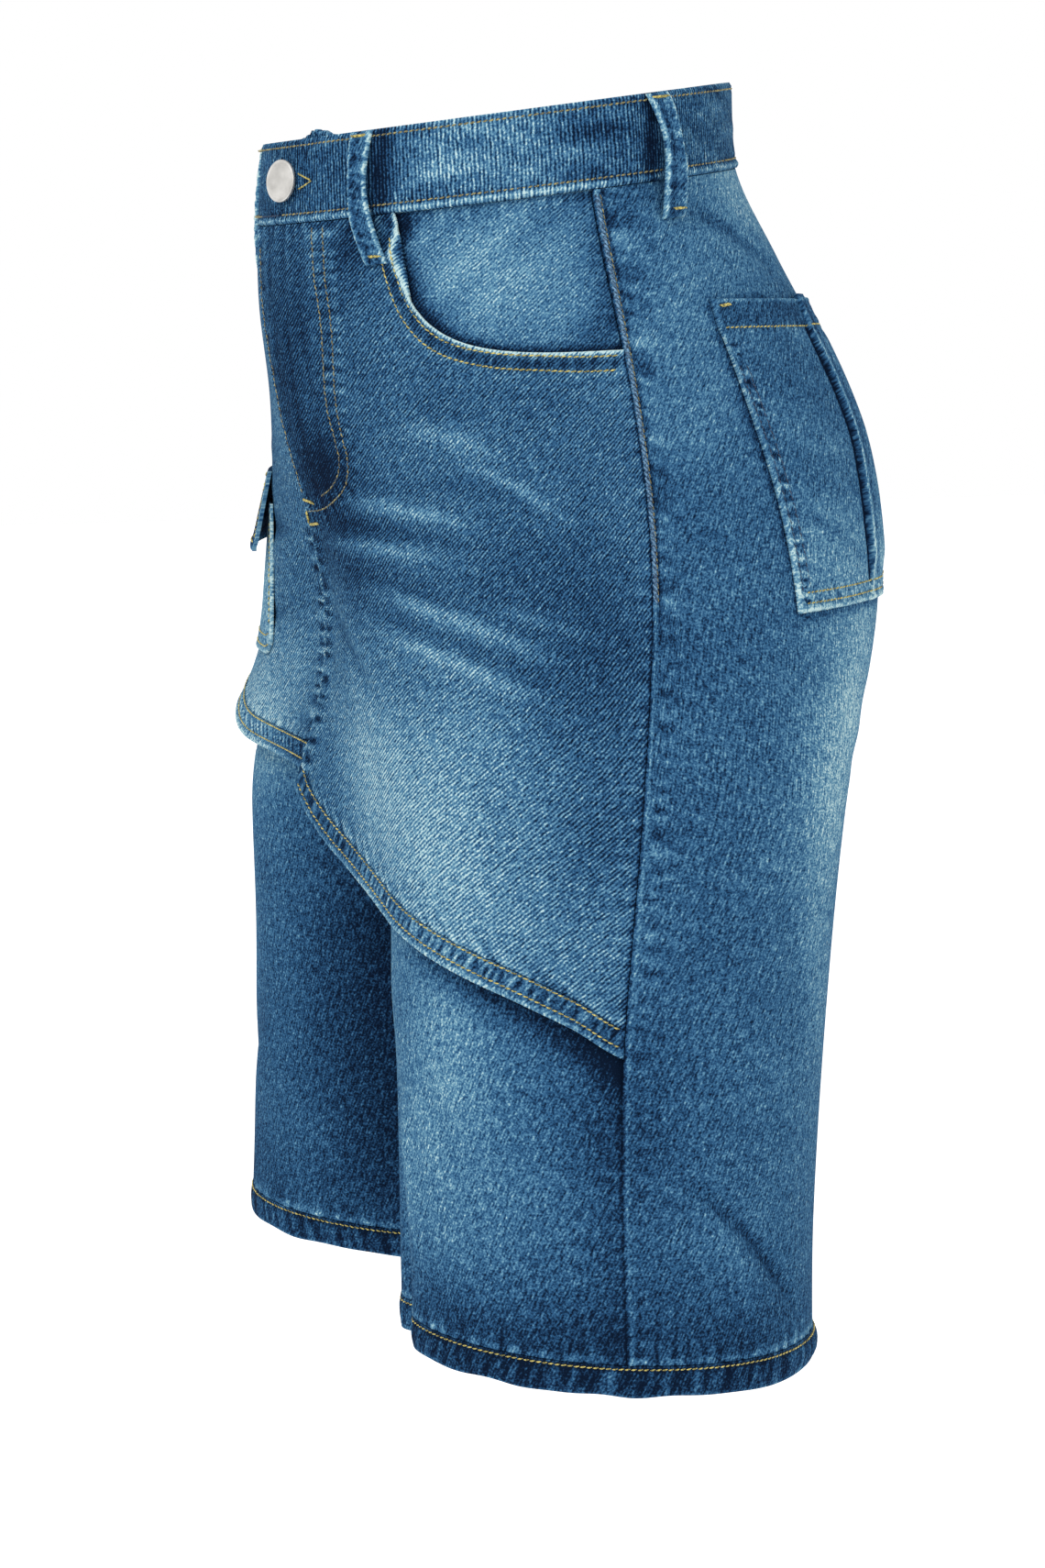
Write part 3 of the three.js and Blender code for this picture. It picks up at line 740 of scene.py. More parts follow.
MUSTARD = twisted_thread("mustard_thread", linear(78, 76, 40), linear(204, 188, 104))
KHAKI = twisted_thread("khaki_thread", linear(44, 46, 44), linear(156, 146, 94))
STRAND = twisted_thread("worn_blue_strand", linear(18, 40, 70), linear(104, 144, 176))
NAVY_THREAD = twisted_thread("navy_thread", linear(20, 32, 52), linear(48, 66, 92))
print("materials:", *[m.name for m in bpy.data.materials])


def finish(piece, node_name, material, sheet=None):
    """Dresses a piece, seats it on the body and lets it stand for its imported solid."""
    piece.data.materials.append(material)
    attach(piece, "root")
    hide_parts(node_name)
    print(piece.name, len(piece.data.polygons), "faces")


def degree_mm(surface, level, angle):
    """Millimetres round the form for a degree, just here."""
    return np.linalg.norm(surface(level, angle + 0.5) - surface(level, angle - 0.5), axis=-1)


def cut_size(surface, level, angle):
    """A piece's flat size from its grid, in metres: longest row, longest column, area."""
    p = surface(level, angle) * MM
    a = np.diff(p, axis=0)[:, :-1]
    b = np.diff(p, axis=1)[:-1]
    area = np.linalg.norm(np.cross(a, b), axis=-1).sum()
    width = np.linalg.norm(np.diff(p, axis=0), axis=-1).sum(0).max()
    length = np.linalg.norm(np.diff(p, axis=1), axis=-1).sum(1).max()
    return width, length, area


def cloth(node_name, material, surface, level, angle, inner, outer, wash_and_shade, ridge,
          hand="left", ring=False, sheet=None):
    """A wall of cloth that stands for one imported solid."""
    piece = wall(
        f"{node_name}_cloth", surface, level, angle, inner, outer, wash_and_shade, ridge, hand, ring
    )
    finish(piece, node_name, material, sheet or cut_size(surface, level, angle))


def both(make):
    """The same piece for the left and for the right."""
    for hand in ("left", "right"):
        make(hand)


# %% [markdown]
# ## Shorts
#
# The shorts are four panels, two backs and two fronts, each from the waistband down to
# the hem band of its leg. On the real thing they are cut flat and gain their shape from
# the curved crotch seam; here the form already has it, so a panel is the stretch of form
# between its two seams. Behind, there is no yoke and no dart.

# %% Shorts back
BAND_HALF = 19.5
PANEL_TOP = -BAND_HALF - SEAM_GAP
CLOTH = 1.2
PALE_PUCKERS = 1.5  # how strongly the puckers of a panel are rubbed pale
LEG_HEM = 14
SHORTS_DEPTH = 3
SHORTS_RETURN = 50
SEAM_LAP = 1.2  # degrees that a deep layer runs on behind the next panel
CENTRE_LAP = 0.6
CROTCH_LAP = 2.6
CROTCH_LEVEL = -308
CROTCH_HIGH = 8
CROTCH_RISE = 1.4
POCKET_TOP = -74
POCKET_SLOPE = 0.19  # millimetres down for a degree round
POCKET_BOTTOM = -213
POCKET_CORNER = 16  # the sides start to draw in this far below the top
POCKET_MIDDLE = 138
POCKET_WIDE_TOP = 33.2
POCKET_WIDE_BOTTOM = 24.6


def leg_bottom(angle):
    return leg_hem_level(angle) + LEG_HEM + SEAM_GAP


def pocket_top(angle):
    """The back pocket's top edge falls towards the centre back."""
    return POCKET_TOP - POCKET_SLOPE * (angle - POCKET_MIDDLE + POCKET_WIDE_TOP)


def pocket_sides(level):
    """The angles of the back pocket's two edges at a level."""
    corner = POCKET_TOP - POCKET_CORNER
    f = np.clip((corner - level) / (corner - POCKET_BOTTOM), 0, 1)
    wide = mix(POCKET_WIDE_TOP, POCKET_WIDE_BOTTOM, f)
    return POCKET_MIDDLE - wide, POCKET_MIDDLE + wide


def turn_mm(level):
    """Millimetres round the form for a degree at a level."""
    return np.radians(section(level)[1])


def seam_distance(level, angle):
    """Millimetres round the form from the side seam, positive towards the back."""
    return (angle - side_seam(level)) * turn_mm(level)


def centre_lap(level):
    """How far the panels of the two legs run past each other, most at the crotch."""
    return CENTRE_LAP + CROTCH_LAP * bell(level, CROTCH_LEVEL, CROTCH_HIGH)


def crotch_bulk(level, from_inseam):
    """Four seams meet in a thick knot that closes the crotch, some degrees either way."""
    return CROTCH_RISE * bell(level, CROTCH_LEVEL, CROTCH_HIGH) * bell(from_inseam / 16)


def centre_distance(level, angle):
    """Millimetres from the centre back seam, and along the legs from the inseam."""
    return np.abs(on_form(level, angle)[..., 0])


def back_relief(hand, level, angle):
    """The seam's cord, its puckers and those of the centre seam and the hem."""
    seed = 1.0 if hand == "left" else 2.0
    d = seam_distance(level, angle)
    upper = ease(level, -232, -205)
    cord = upper * (0.7 * bell(d, 1.7, 1.35) - 0.5 * bell(d, 4.6, 0.8))
    cord += 0.5 * (1 - upper) * bell(d, 1.2, 1.6)
    taut = mix(0.14, mix(0.55, 0.42, upper), ease(level, -440, -330))
    side = taut * drawn_up(np.maximum(d - 5, 0), level + 0.3 * d, 8, 10, seed) * ease(d, 3.6, 5.6)
    c = centre_distance(level, angle)
    centre = 0.45 * drawn_up(c - 3, level, 6, 9, seed + 3) * ease(level, -310, -290)
    hem = 0.40 * drawn_up(level - leg_bottom(angle), angle * TURN_MM, 9, 11, seed + 5)
    return cord, side + centre + hem


def hem_wear(level, bottom, angle, seed):
    """The pale line rubbed where the hem's thick edge shows through above its stitches."""
    above = level - bottom
    return 0.34 * bell(above, 1.6, 1.7) * (0.6 + 0.6 * uneven(angle * TURN_MM, 17, seed))


def shorts_back(hand):
    S, T = shares(110, 236)
    bottom = leg_bottom(mix(side_seam(LEG_HEM_LEVEL), 270, S))
    level = mix(PANEL_TOP, bottom, T)
    last = np.minimum(180 - angle_at(level, -centre_lap(level)), 270 + 0.2 * seam_turn(level))
    angle = mix(side_seam(level) + seam_turn(level), last, S)
    cord, puckers = back_relief(hand, level, angle)
    outer = cord + puckers + folds(hand, level, angle) + crotch_bulk(level, angle - 270)
    d = seam_distance(level, angle)
    upper = ease(level, -232, -205)
    fade_and_shade = 0.24 * bell(d, 1.7, 1.2) * upper - 0.26 * bell(d, 4.8, 0.9) * upper
    fade_and_shade += 0.18 * bell(d, 1.6, 1.2) * (1 - upper) - 0.3 * bell(d / 0.6)
    fade_and_shade += upper * 0.16 * bell(d, 11, 7) * uneven(level, 37, 4.0)
    # Painted shadow on the panel along the outside of the back pocket's edges.
    left, right = pocket_sides(level)
    off = np.maximum(left - angle, angle - right) * 2.7
    shade = bell(np.clip(off, 0, 9) / 2.2) * ease(pocket_top(angle) - level, -4, 4)
    shade *= 1 - ease(-level, 213, 219)
    wash_and_shade = wash_and_shade_at(hand, level, angle) + fade_and_shade - 0.24 * shade
    wash_and_shade += hem_wear(level, bottom, angle, 5.0)
    cloth(
        f"shorts_back_{hand}", DENIM, on_form, level, angle, outer - CLOTH, outer,
        wash_and_shade, PALE_PUCKERS * puckers, hand,
    )


both(shorts_back)

# %% [markdown]
# The fronts are hidden down to the skirt's hem. They lie under the skirt there and come
# back out to the form below it, as real cloth does once nothing holds it down.

# %% Shorts front
def front_depth_below(hand, level, angle):
    """How far the shorts front lies below the form under the skirt."""
    edge = through(SKIRT_EDGE[hand], "out", "level", on_form(level, angle)[..., 0])
    return SHORTS_DEPTH * ease(angle, -40, -5) * (1 - ease(edge - level, 0, SHORTS_RETURN))


def shorts_front(hand):
    S, T = shares(88, 150, 0.5)
    bottom = leg_bottom(mix(-90, side_seam(LEG_HEM_LEVEL), S))
    level = mix(PANEL_TOP, bottom, T ** 0.8)
    first = np.maximum(angle_at(level, -centre_lap(level)), -90 - 0.2 * seam_turn(level))
    seam = side_seam(level)
    tucked = front_depth_below(hand, level, seam) / SHORTS_DEPTH
    angle = mix(first, seam + seam_turn(level) + SEAM_LAP * tucked, S)
    d = seam_distance(level, angle)
    edge = through(SKIRT_EDGE[hand], "out", "level", on_form(level, angle)[..., 0])
    seen = ease(edge - level, 0, 14)
    seed = 6.0 if hand == "left" else 7.0
    puckers = seen * (
        0.10 * drawn_up(d + 3, level, 5, 9, seed)
        + 0.40 * drawn_up(level - bottom, angle * TURN_MM, 9, 11, seed + 5)
    )
    outer = puckers + seen * folds(hand, level, angle) - front_depth_below(hand, level, angle)
    outer += crotch_bulk(level, angle + 90)
    wash_and_shade = wash_and_shade_at(hand, level, angle) + hem_wear(level, bottom, angle, 8.0)
    wash_and_shade -= 0.22 * bell(d / 0.8) + 0.10 * bell(d / 12)
    # Painted shadow that the skirt's hem casts on the leg just below it.
    below = 1 - ease(edge - level, 1, 26)
    wash_and_shade -= 0.42 * below ** 1.5 * ease(angle, -10, 26)
    wash_and_shade = mix(0.25, wash_and_shade, ease(edge - level, -10, 4))
    cloth(
        f"shorts_front_{hand}", DENIM, on_form, level, angle, outer - CLOTH,
        outer, wash_and_shade, PALE_PUCKERS * puckers, hand,
    )


both(shorts_front)

# %% [markdown]
# ## Leg hems
#
# Each leg ends in a turned hem. Its two edges are held by stitches that were sewn
# slightly askew, which twists the fold into slanting puckers like the strands of a rope.
# The band is a closed ring of cloth, so its columns wrap round.

# %% Leg hems
LEG_TURN_MM = 1.65  # millimetres round the leg's hem for a degree
LEG_HEM_THICK = 2.2
LEG_HEM_STITCH = 12.4  # above the fold


def rope(along, across, length, seed, lean):
    """Slanting puckers: the uneven wave of seam puckers, leaning across the band."""
    return uneven(along + lean * across, length, seed)


def leg_hem_relief(hand, level, angle, T):
    """The band's outer face and its twist: rolled, and puckered between its edges."""
    seed = 2.0 if hand == "left" else 5.0
    twist = rope(angle * LEG_TURN_MM, T * LEG_HEM, 10, seed, 0.3) * np.sin(np.pi * T) ** 0.7
    twist += 0.3 * uneven(angle * LEG_TURN_MM, 3.8, seed + 1) * np.sin(np.pi * T)
    roll = np.sin(np.pi * np.clip(T, 0.02, 0.98)) ** 0.5
    kink = 1.6 * bell(angle, 152, 22) + 0.8 * bell(angle, -60, 18)
    height = 0.1 + 0.75 * roll + 0.36 * twist + kink * np.sin(np.pi * T)
    return height - 0.35 * bell(T, 0.11, 0.05) + folds(hand, level, angle), twist


def leg_hem_drop(angle):
    """The lower edge hangs unevenly, a millimetre up or down."""
    return 0.7 * uneven(angle * LEG_TURN_MM, 60, 3.0)


def leg_hem(hand):
    columns = np.linspace(-90, 270, 420, endpoint=False)
    A, T = np.meshgrid(columns, crowded(0, 1, 1 / 12, 0.5), indexing="ij")
    level = leg_hem_level(A) + LEG_HEM * (1 - T) + leg_hem_drop(A) * T * bell(T - 1)
    outer, twist = leg_hem_relief(hand, level, A, T)
    wash_and_shade = wash_and_shade_at(hand, level, A) - 0.10 + 0.20 * ease(T, 0.86, 1.0)
    wash_and_shade += 0.08 * uneven(A * LEG_TURN_MM, 27, 6.0) - 0.18 * bell(T, 0.13, 0.06)
    cloth(
        f"leg_hem_{hand}", DENIM, on_form, level, A, outer - LEG_HEM_THICK,
        outer, wash_and_shade, 0.62 * twist, hand, ring=True,
    )


both(leg_hem)

# %% [markdown]
# ## Skirt fronts
#
# Each skirt front is one panel, from the fly to the side seam and from the waistband to
# the hem band, with the pocket mouth cut out of its upper corner. The grid bends round
# the mouth: its first row runs along the waist seam and then down and out along the
# mouth, and its columns fall from there to the hem. The relief is a sum of named parts:
# the rolled mouth edge, the fly with its J of stitches, the drawn-up seams and creases.

# %% Lines of the skirt front
MOUTH_START = 40.5
MOUTH_END = 84.2
MOUTH_DEPTH = 68
MOUTH_DROP = 4
MOUTH_POWER = 1 / 2


def mouth(turn):
    """across = 1 - cos(turn)^p; the angle follows it, the level falls as sin(turn)^p.
    Near the waistband the worn edge rolls over and back, a few millimetres each way."""
    across = 1 - np.clip(np.cos(turn), 0, 1) ** MOUTH_POWER
    fall = MOUTH_DEPTH * np.sin(turn) ** MOUTH_POWER + MOUTH_DROP * across
    roll = 0.9 * bell(fall, 6, 6) - 1.3 * bell(fall, 19, 7)
    return PANEL_TOP - fall, mix(MOUTH_START, MOUTH_END, across) + roll


MOUTH_LINE = mouth(np.linspace(0, 1, 90) ** 3 * np.pi / 2)
FLY_J = line_out(
    (-22, 46), (-45, 47.5), (-71, 50), (-109, 46.5), (-128, 50), (-136, 52.5), (-146, 51.5),
    (-153, 46.5), (-158, 37.6), (-162, 26), (-164, 14), (-165, 2),
)
FLY_J_INNER = line_out(
    (-22, 39.5), (-45, 41), (-70, 43.5), (-109, 39.5), (-128, 44), (-136, 46), (-143, 45),
    (-148.5, 40.5), (-153, 33), (-156.5, 23),
)
SKIRT_HEM = 13
SKIRT_HEM_LONG = 245
SKIRT_HEM_THICK = 1.4
SKIRT_WIDE = 215  # at the waist, near enough to space the columns
print("mouth line", len(MOUTH_LINE[0]), "places, fly", len(FLY_J[0]))


def skirt_share(hand, level, angle):
    """The share of the way from the centre edge to the side seam, as in skirt_angle."""
    centre, half, _, _ = section(level)
    turn = np.radians(angle)
    along = np.where(turn < 0, np.sin(turn), turn) * half
    start = skirt_centre(hand, level) - centre
    seam = np.radians(side_seam(level) - seam_turn(level)) * half
    return (along - start) / (seam - start)


# %% Relief of the skirt front
def fly_relief(level, angle, x, from_centre, below_fly, seed):
    """What only the left front has: the J of stitches and the doubled cloth inside it."""
    far, along = beside(FLY_J, level, angle)
    inside = ease(-far, -1, 1.5) * ease(level, -167, -163)
    far = np.abs(far)
    edge = bell(from_centre / 1.4) * below_fly
    drag = uneven(from_centre + 4 * np.sin(level / 31), 15, seed + 7)
    drag *= 0.55 + 0.45 * uneven(level, 47, seed + 8)
    drag += 0.4 * uneven(from_centre + 0.1 * level, 5, seed + 9) * uneven(level, 19, 1.0)
    height = inside * (0.45 + 0.40 * drag) + 0.4 * edge
    puckers = puckered(
        seed + 5,
        (0.38, far - 3, along, 6, 7),
        (0.30 * below_fly, from_centre, level, 8, 13),
    )
    fade_and_shade = inside * (0.10 * drag - 0.05) + 0.20 * edge
    fade_and_shade += 0.22 * bell(far, 4.5, 1.6) * uneven(along, 5, seed) ** 2
    fade_and_shade -= 0.12 * spot(x, level, 26, -142, 17, 22)
    fade_and_shade += 0.18 * spot(x, level, 24, -112, 4.5, 24)
    return height, puckers, fade_and_shade


def skirt_relief(hand, level, angle):
    """Height over the form with its puckers, the puckers alone, and how much lighter or darker to
    paint it, wear and a painted shadow below the belt loop included.
    """
    seed = 11.0 if hand == "left" else 17.0
    share = skirt_share(hand, level, angle)
    edge = skirt_edge_level(hand, np.clip(share, 0, 1))
    x = on_skirt(level, angle)[..., 0]
    from_centre = x - skirt_centre(hand, level)
    from_seam = -seam_distance(level, angle)
    above_hem = level - edge - SKIRT_HEM
    mouth_far, mouth_along = beside(MOUTH_LINE, level, angle)
    mouth_far = np.abs(mouth_far)

    height = skirt_flare(hand, np.clip(share, 0, 1), level) + folds(hand, level, angle)
    lip = 0.55 * (1 - ease(mouth_far, 7.5, 9.5)) + 1.1 * bell(mouth_far / 1.7)
    lip -= 0.35 * bell(mouth_far, 8.2, 1.0) + 0.30 * bell(mouth_far, 2.6, 0.7)
    lip += 1.5 * bell(mouth_far / 6) * (1 - ease(-level, 46, 78))
    height += lip
    centre_up = 1 - ease(level, -178, -166)
    seam_band = 0.5 * (1 - ease(from_centre, 8, 10)) * centre_up
    side_band = 0.45 * (1 - ease(from_seam, 6, 9)) * ease(-level, 96, 110)
    height += seam_band + side_band

    puckers = puckered(
        seed,
        (0.30, mouth_far - 4, mouth_along, 6, 8),
        (0.85 * centre_up, from_centre - 4, level, 5, 8),
        (0.25, from_seam - 2, level, 5, 9),
        (0.40, above_hem, x + 0.6 * level, 7, 8),
        (0.22, level - PANEL_TOP, x, 10, 7),
    )
    fade_and_shade = 0.72 * bell(mouth_far / 1.5) + 0.05 * bell(mouth_far, 10, 2)
    fade_and_shade -= 0.20 * bell(mouth_far, 5, 2.6) + 0.32 * bell(from_seam / 1.0)
    # Painted shadow on the panel below the front belt loop, beside the mouth.
    fade_and_shade -= 0.26 * spot(x, level, 62, -30, 11, 11 / 0.6) * (mouth_far > 1.6)
    fade_and_shade += centre_up * (0.22 * bell(from_centre / 0.9) - 0.10 * bell(from_centre, 4, 4))
    if hand == "left":
        fly = fly_relief(level, angle, x, from_centre, 1 - centre_up, seed)
        height += fly[0]
        puckers += fly[1]
        fade_and_shade += fly[2]
    worn = bell(above_hem, 2.2, 2.2) * (0.5 + 0.5 * uneven(x, 19, seed))
    fade_and_shade += 0.13 * worn - 0.06 * bell(above_hem / 1.0)
    return height + puckers, puckers, fade_and_shade


def skirt_grid(columns, rows, hand):
    """Columns spread along the waist seam and the mouth, falling to the hem."""
    start = skirt_share(hand, PANEL_TOP, MOUTH_LINE[1][0])
    waist = np.linspace(0, start, 40)[:-1]
    mouth_share = skirt_share(hand, *MOUTH_LINE)
    inside = mouth_share <= 1
    top_share = np.concatenate([waist, mouth_share[inside], [1]])
    last = np.interp(1, mouth_share, MOUTH_LINE[0])
    top_level = np.concatenate([0 * waist + PANEL_TOP, MOUTH_LINE[0][inside], [last]])
    run = running(np.stack([top_share * SKIRT_WIDE, top_level], -1))
    run /= run[-1]
    U, T = shares(columns, rows, 0.3)
    share = mix(np.interp(U, run, top_share), U, ease(T, 0.3, 1))
    top = np.interp(U, run, top_level)
    bottom = skirt_edge_level(hand, share) + SKIRT_HEM + SEAM_GAP
    level = mix(top, bottom, T)
    return level, skirt_angle(hand, level, share)


def skirt_front(hand):
    columns, rows = (150, 190) if hand == "left" else (120, 130)
    level, angle = skirt_grid(columns, rows, hand)
    outer, puckers, fade_and_shade = skirt_relief(hand, level, angle)
    cloth(
        f"skirt_front_{hand}", DENIM_FRONT, on_skirt, level, angle, outer - CLOTH,
        outer, wash_and_shade_at(hand, level, angle) + fade_and_shade, PALE_PUCKERS * puckers, hand,
    )


both(skirt_front)

# %% [markdown]
# The skirt's hem is folded up and held by two rows of stitches. The feed of the machine
# pushes one layer past the other, so the band twists into short slanting puckers, and
# these are what turns pale first in the wash. The fold itself frays.

# %% Skirt hems
def skirt_hem_height(hand, share, T):
    """Height over the form, and the twist, across the band from its top to its fold."""
    x = share * SKIRT_HEM_LONG
    seed = 3.0 if hand == "left" else 8.0
    belly = np.sin(np.pi * np.clip((T - 0.06) / 0.62, 0, 1))
    twist = rope(x, 9 * T, 5.6, seed, 0.7) * belly
    fray = uneven(x, 2.4, seed + 1) * ease(T, 0.72, 0.85)
    roll = 0.35 + 0.55 * bell(T, 0.86, 0.16) - 0.25 * bell(T, 0.66, 0.06)
    roll -= 0.55 * ease(T, 0.93, 1.0)
    return roll + 0.62 * twist + 0.22 * fray, twist, fray


def skirt_hem(hand):
    U, T = np.meshgrid(np.linspace(0, 1, 330), crowded(0, 1, 1 / 13, 0.3), indexing="ij")
    level = skirt_edge_level(hand, U) + SKIRT_HEM * (1 - T)
    angle = skirt_angle(hand, level, U)
    height, twist, fray = skirt_hem_height(hand, U, T)
    flare = skirt_flare(hand, U, level)
    folded = 0.3 * folds(hand, level, angle)
    outer = flare + height + folded
    inner = flare - SKIRT_HEM_THICK + folded + 0.4 * ease(T, 0.93, 1.0)
    wash_and_shade = wash_and_shade_at(hand, level, angle) - 0.06 + 0.30 * ease(T, 0.76, 0.86)
    cloth(
        f"skirt_hem_{hand}", DENIM_DARK, on_skirt, level, angle, inner, outer,
        wash_and_shade, 1.15 * twist + 0.5 * fray, hand,
    )


both(skirt_hem)

# %% [markdown]
# The pocket facing is the piece of the side that shows inside the pocket mouth. It is
# one piece with the pocket bag on a real pair; the bag is inside and isn't made here.

# %% Pocket facings
FACING_CLOTH = 1.0
FACING_DEPTH = 1.6
FACING_LEVEL = -108
FACING_SHARE = 0.41


def facing_relief(hand, level, angle):
    """Soft fullness where the hand goes in, with puckers under the waistband."""
    seed = 21.0 if hand == "left" else 24.0
    soft = 0.5 * uneven(0.8 * angle * TURN_MM + level, 46, seed) * ease(-level, 24, 40)
    puckers = puckered(
        seed + 1,
        (0.25, level - PANEL_TOP, angle * TURN_MM, 8, 7),
        (0.20, seam_distance(level, angle), level, 6, 9),
    )
    return -FACING_DEPTH + np.minimum(soft, 0.25) + puckers, puckers


def pocket_facing(hand):
    U, T = shares(56, 50)
    level = mix(PANEL_TOP, FACING_LEVEL, T)
    angle = skirt_angle(hand, level, mix(FACING_SHARE, 1, U))
    outer, puckers = facing_relief(hand, level, angle)
    # Painted light and shade: a pale pool in the middle of the facing, the painted shadow that the
    # mouth's lip casts on it, and painted shade towards the side seam.
    glow = spot(angle, level, 59, -50, 22, 36)
    mouth_far = np.abs(beside(MOUTH_LINE, level, angle)[0])
    shade = 2.6 + 3.4 * ease(level, -84, -56)
    wash_and_shade = 0.36 + 0.30 * glow - 0.50 * bell(mouth_far / shade)
    wash_and_shade -= 0.12 * bell(seam_distance(level, angle) / 9)
    wash_and_shade += 0.06 * uneven(angle * TURN_MM - 1.4 * level, 52, 2.0)
    cloth(
        f"pocket_facing_{hand}", DENIM_FACING, on_skirt, level, angle,
        outer - FACING_CLOTH, outer, wash_and_shade, 1.6 * puckers, hand,
    )


both(pocket_facing)

# %% [markdown]
# ## Waistband
#
# The waistband is one long strip that starts at the fly on the left, goes round by the
# back and runs beneath its own start, where the button holds both ends. Its top edge is
# folded, its lower edge stands over the panels like a cord, and between the two rows of
# stitches the layers pull into fine upright ribs. Behind the button the buried end
# curls up a little and shows above the edge.

# %% Waistband
BAND_OUT = 1.2
BAND_THICK = 3.6
BAND_HEIGHT = 2 * BAND_HALF
PATCH_GAP = 0.4
BAND_START = angle_at(0, -14)
BAND_END = 360 + angle_at(0, 48)
BAND_CREASES = table(
    "level_a angle_a level_b angle_b wide high pale",
    (9, 16, 15, 27, 2.6, 0.55, 0.16),
    (-2, 19, 10, 29, 2.2, 0.45, 0.14),
    (-12, 8, -5, 20, 2.4, -0.5, -0.10),
    (-13, 38, -3, 60, 2.6, 0.50, 0.26),
    (-5, 40, 3, 66, 2.4, 0.35, 0.14),
    (8, 44, 12, 74, 3.0, 0.30, 0.10),
    (-10, 64, -4, 88, 2.6, 0.30, 0.12),
    (2, 104, 8, 138, 3.0, 0.35, 0.10),
    (-9, 120, -3, 160, 2.6, 0.35, 0.12),
    (-8, 196, -2, 236, 2.6, 0.35, 0.12),
    (4, 216, 9, 250, 3.0, 0.30, 0.10),
    (-9, 272, -4, 300, 2.6, 0.35, 0.14),
    (6, 300, 11, 322, 2.6, 0.40, 0.14),
)


def band_relief(level, angle):
    """Height over the form and the puckers of the band's outer face."""
    T = 0.5 - level / BAND_HEIGHT
    x = angle * TURN_MM
    rows = bell(T, 0.08, 0.12) + bell(T, 0.88, 0.16)
    ribs = 0.20 * uneven(x, 4.4, 1.0) * rows + 0.05 * uneven(x + 0.2 * level, 3.6, 2.0)
    groove = 0.35 * bell(T, 0.08, 0.018) + 0.45 * bell(T, 0.885, 0.02)
    cord = 0.75 * bell(T, 0.955, 0.035) * (0.8 + 0.35 * uneven(x, 3.0, 3.0))
    rounding = 0.9 * (1 - ease(T, 0, 0.045)) + 0.5 * ease(T, 0.975, 1.0)
    creases = crease_sum(BAND_CREASES, "high", level, angle)
    lump = 1.1 * spot(angle, level, 7.5, -17.5, 3 / TURN_MM, 2.2)
    return BAND_OUT - groove + cord - rounding + creases + lump + ribs, ribs


def band_dip(angle):
    """How far the band's right end sinks to pass beneath the left end."""
    start = 360 + angle_at(0, -60)
    return (BAND_THICK + PATCH_GAP) * ease(angle, start, 360 + angle_at(0, -18))


def waistband():
    A, T = np.meshgrid(
        crowded(BAND_START, BAND_END, 0.75, 0.2), crowded(0, 1, 1 / 26, 0.45), indexing="ij"
    )
    level = BAND_HEIGHT * (0.5 - T)
    outer, ribs = band_relief(level, A)
    dip = band_dip(A)
    start_edge = bell((A - BAND_START) * TURN_MM / 1.5)
    curl = 4.6 * bell(A - 360, 16.5, 4.2) * (0.8 + 0.25 * uneven(A * TURN_MM, 5, 7.0))
    x = A * TURN_MM
    wash_and_shade = 0.42 + 0.07 * uneven(x + 3 * level, 70, 5.0)
    wash_and_shade += crease_sum(BAND_CREASES, "pale", level, A)
    # Paler from about 42 to 80 degrees; painted shade on the front of the band, where it turns away
    # from the light.
    wash_and_shade += 0.10 * ease(A, 42, 50) * (1 - ease(A, 66, 80)) - 0.10 * (1 - ease(A, 24, 34))
    # Painted shadows that the front and side belt loops cast on the band.
    wash_and_shade -= 0.40 * bell(A, 37.0, 2.6) + 0.40 * bell(A, 95.4, 2.0)
    wash_and_shade -= 0.20 * spot(A, level, 82, 6, 8, 3) + 0.06 * ease(A, 70, 90)
    wash_and_shade += 0.20 * (1 - ease(T, 0.0, 0.035)) + 0.34 * bell(T, 0.955, 0.035)
    wash_and_shade += 0.10 * uneven(x, 1.9, 4.0) * bell(T, 0.96, 0.04)
    wash_and_shade += 0.14 * start_edge - 0.16 * bell(T, 0.90, 0.03)
    # Painted shade in the buttonhole's slit.
    wash_and_shade -= 0.30 * spot(A, level, 16.2, 0.5, 2.2, 1.6)
    curled = level + curl * (1 - ease(T, 0, 0.5))
    cloth(
        "waistband", DENIM_BAND, on_form, curled, A,
        BAND_OUT - BAND_THICK - dip, outer - dip, wash_and_shade, 1.7 * ribs,
        sheet=cut_size(on_form, level, A),
    )


waistband()

# %% [markdown]
# ## Belt loops
#
# A belt loop is a strip folded in three, so its edges are thick and its middle is
# hollow. Its top is turned over the band's edge and its foot is turned under, and both
# ends are held by a bar tack. Loops lean and twist a little, each in its own way, so
# each has a row in a table: how far its top, its middle and its foot are out of line.

# %% Belt loops
LOOP_CLOTH = 1.6
LOOP_WIDTH = 11
LOOP_TOP = 19
LOOP_LIFT = 0.5
LOOPS = {
    "front_left": ("left", 34.5, -43, 3.6, (-2.2, -1.4, 1.0)),
    "front_right": ("right", 35.5, -53, 2.6, (-1.0, -1.0, 0.6)),
    "side_left": ("left", 97, -37, 6.6, (0.0, 2.5, 3.0)),
    "side_right": ("right", 97, -37, 6.6, (0.2, 2.0, 2.4)),
    "back": ("left", 180, -37, 6.6, (-0.4, 0.5, -0.3)),
}


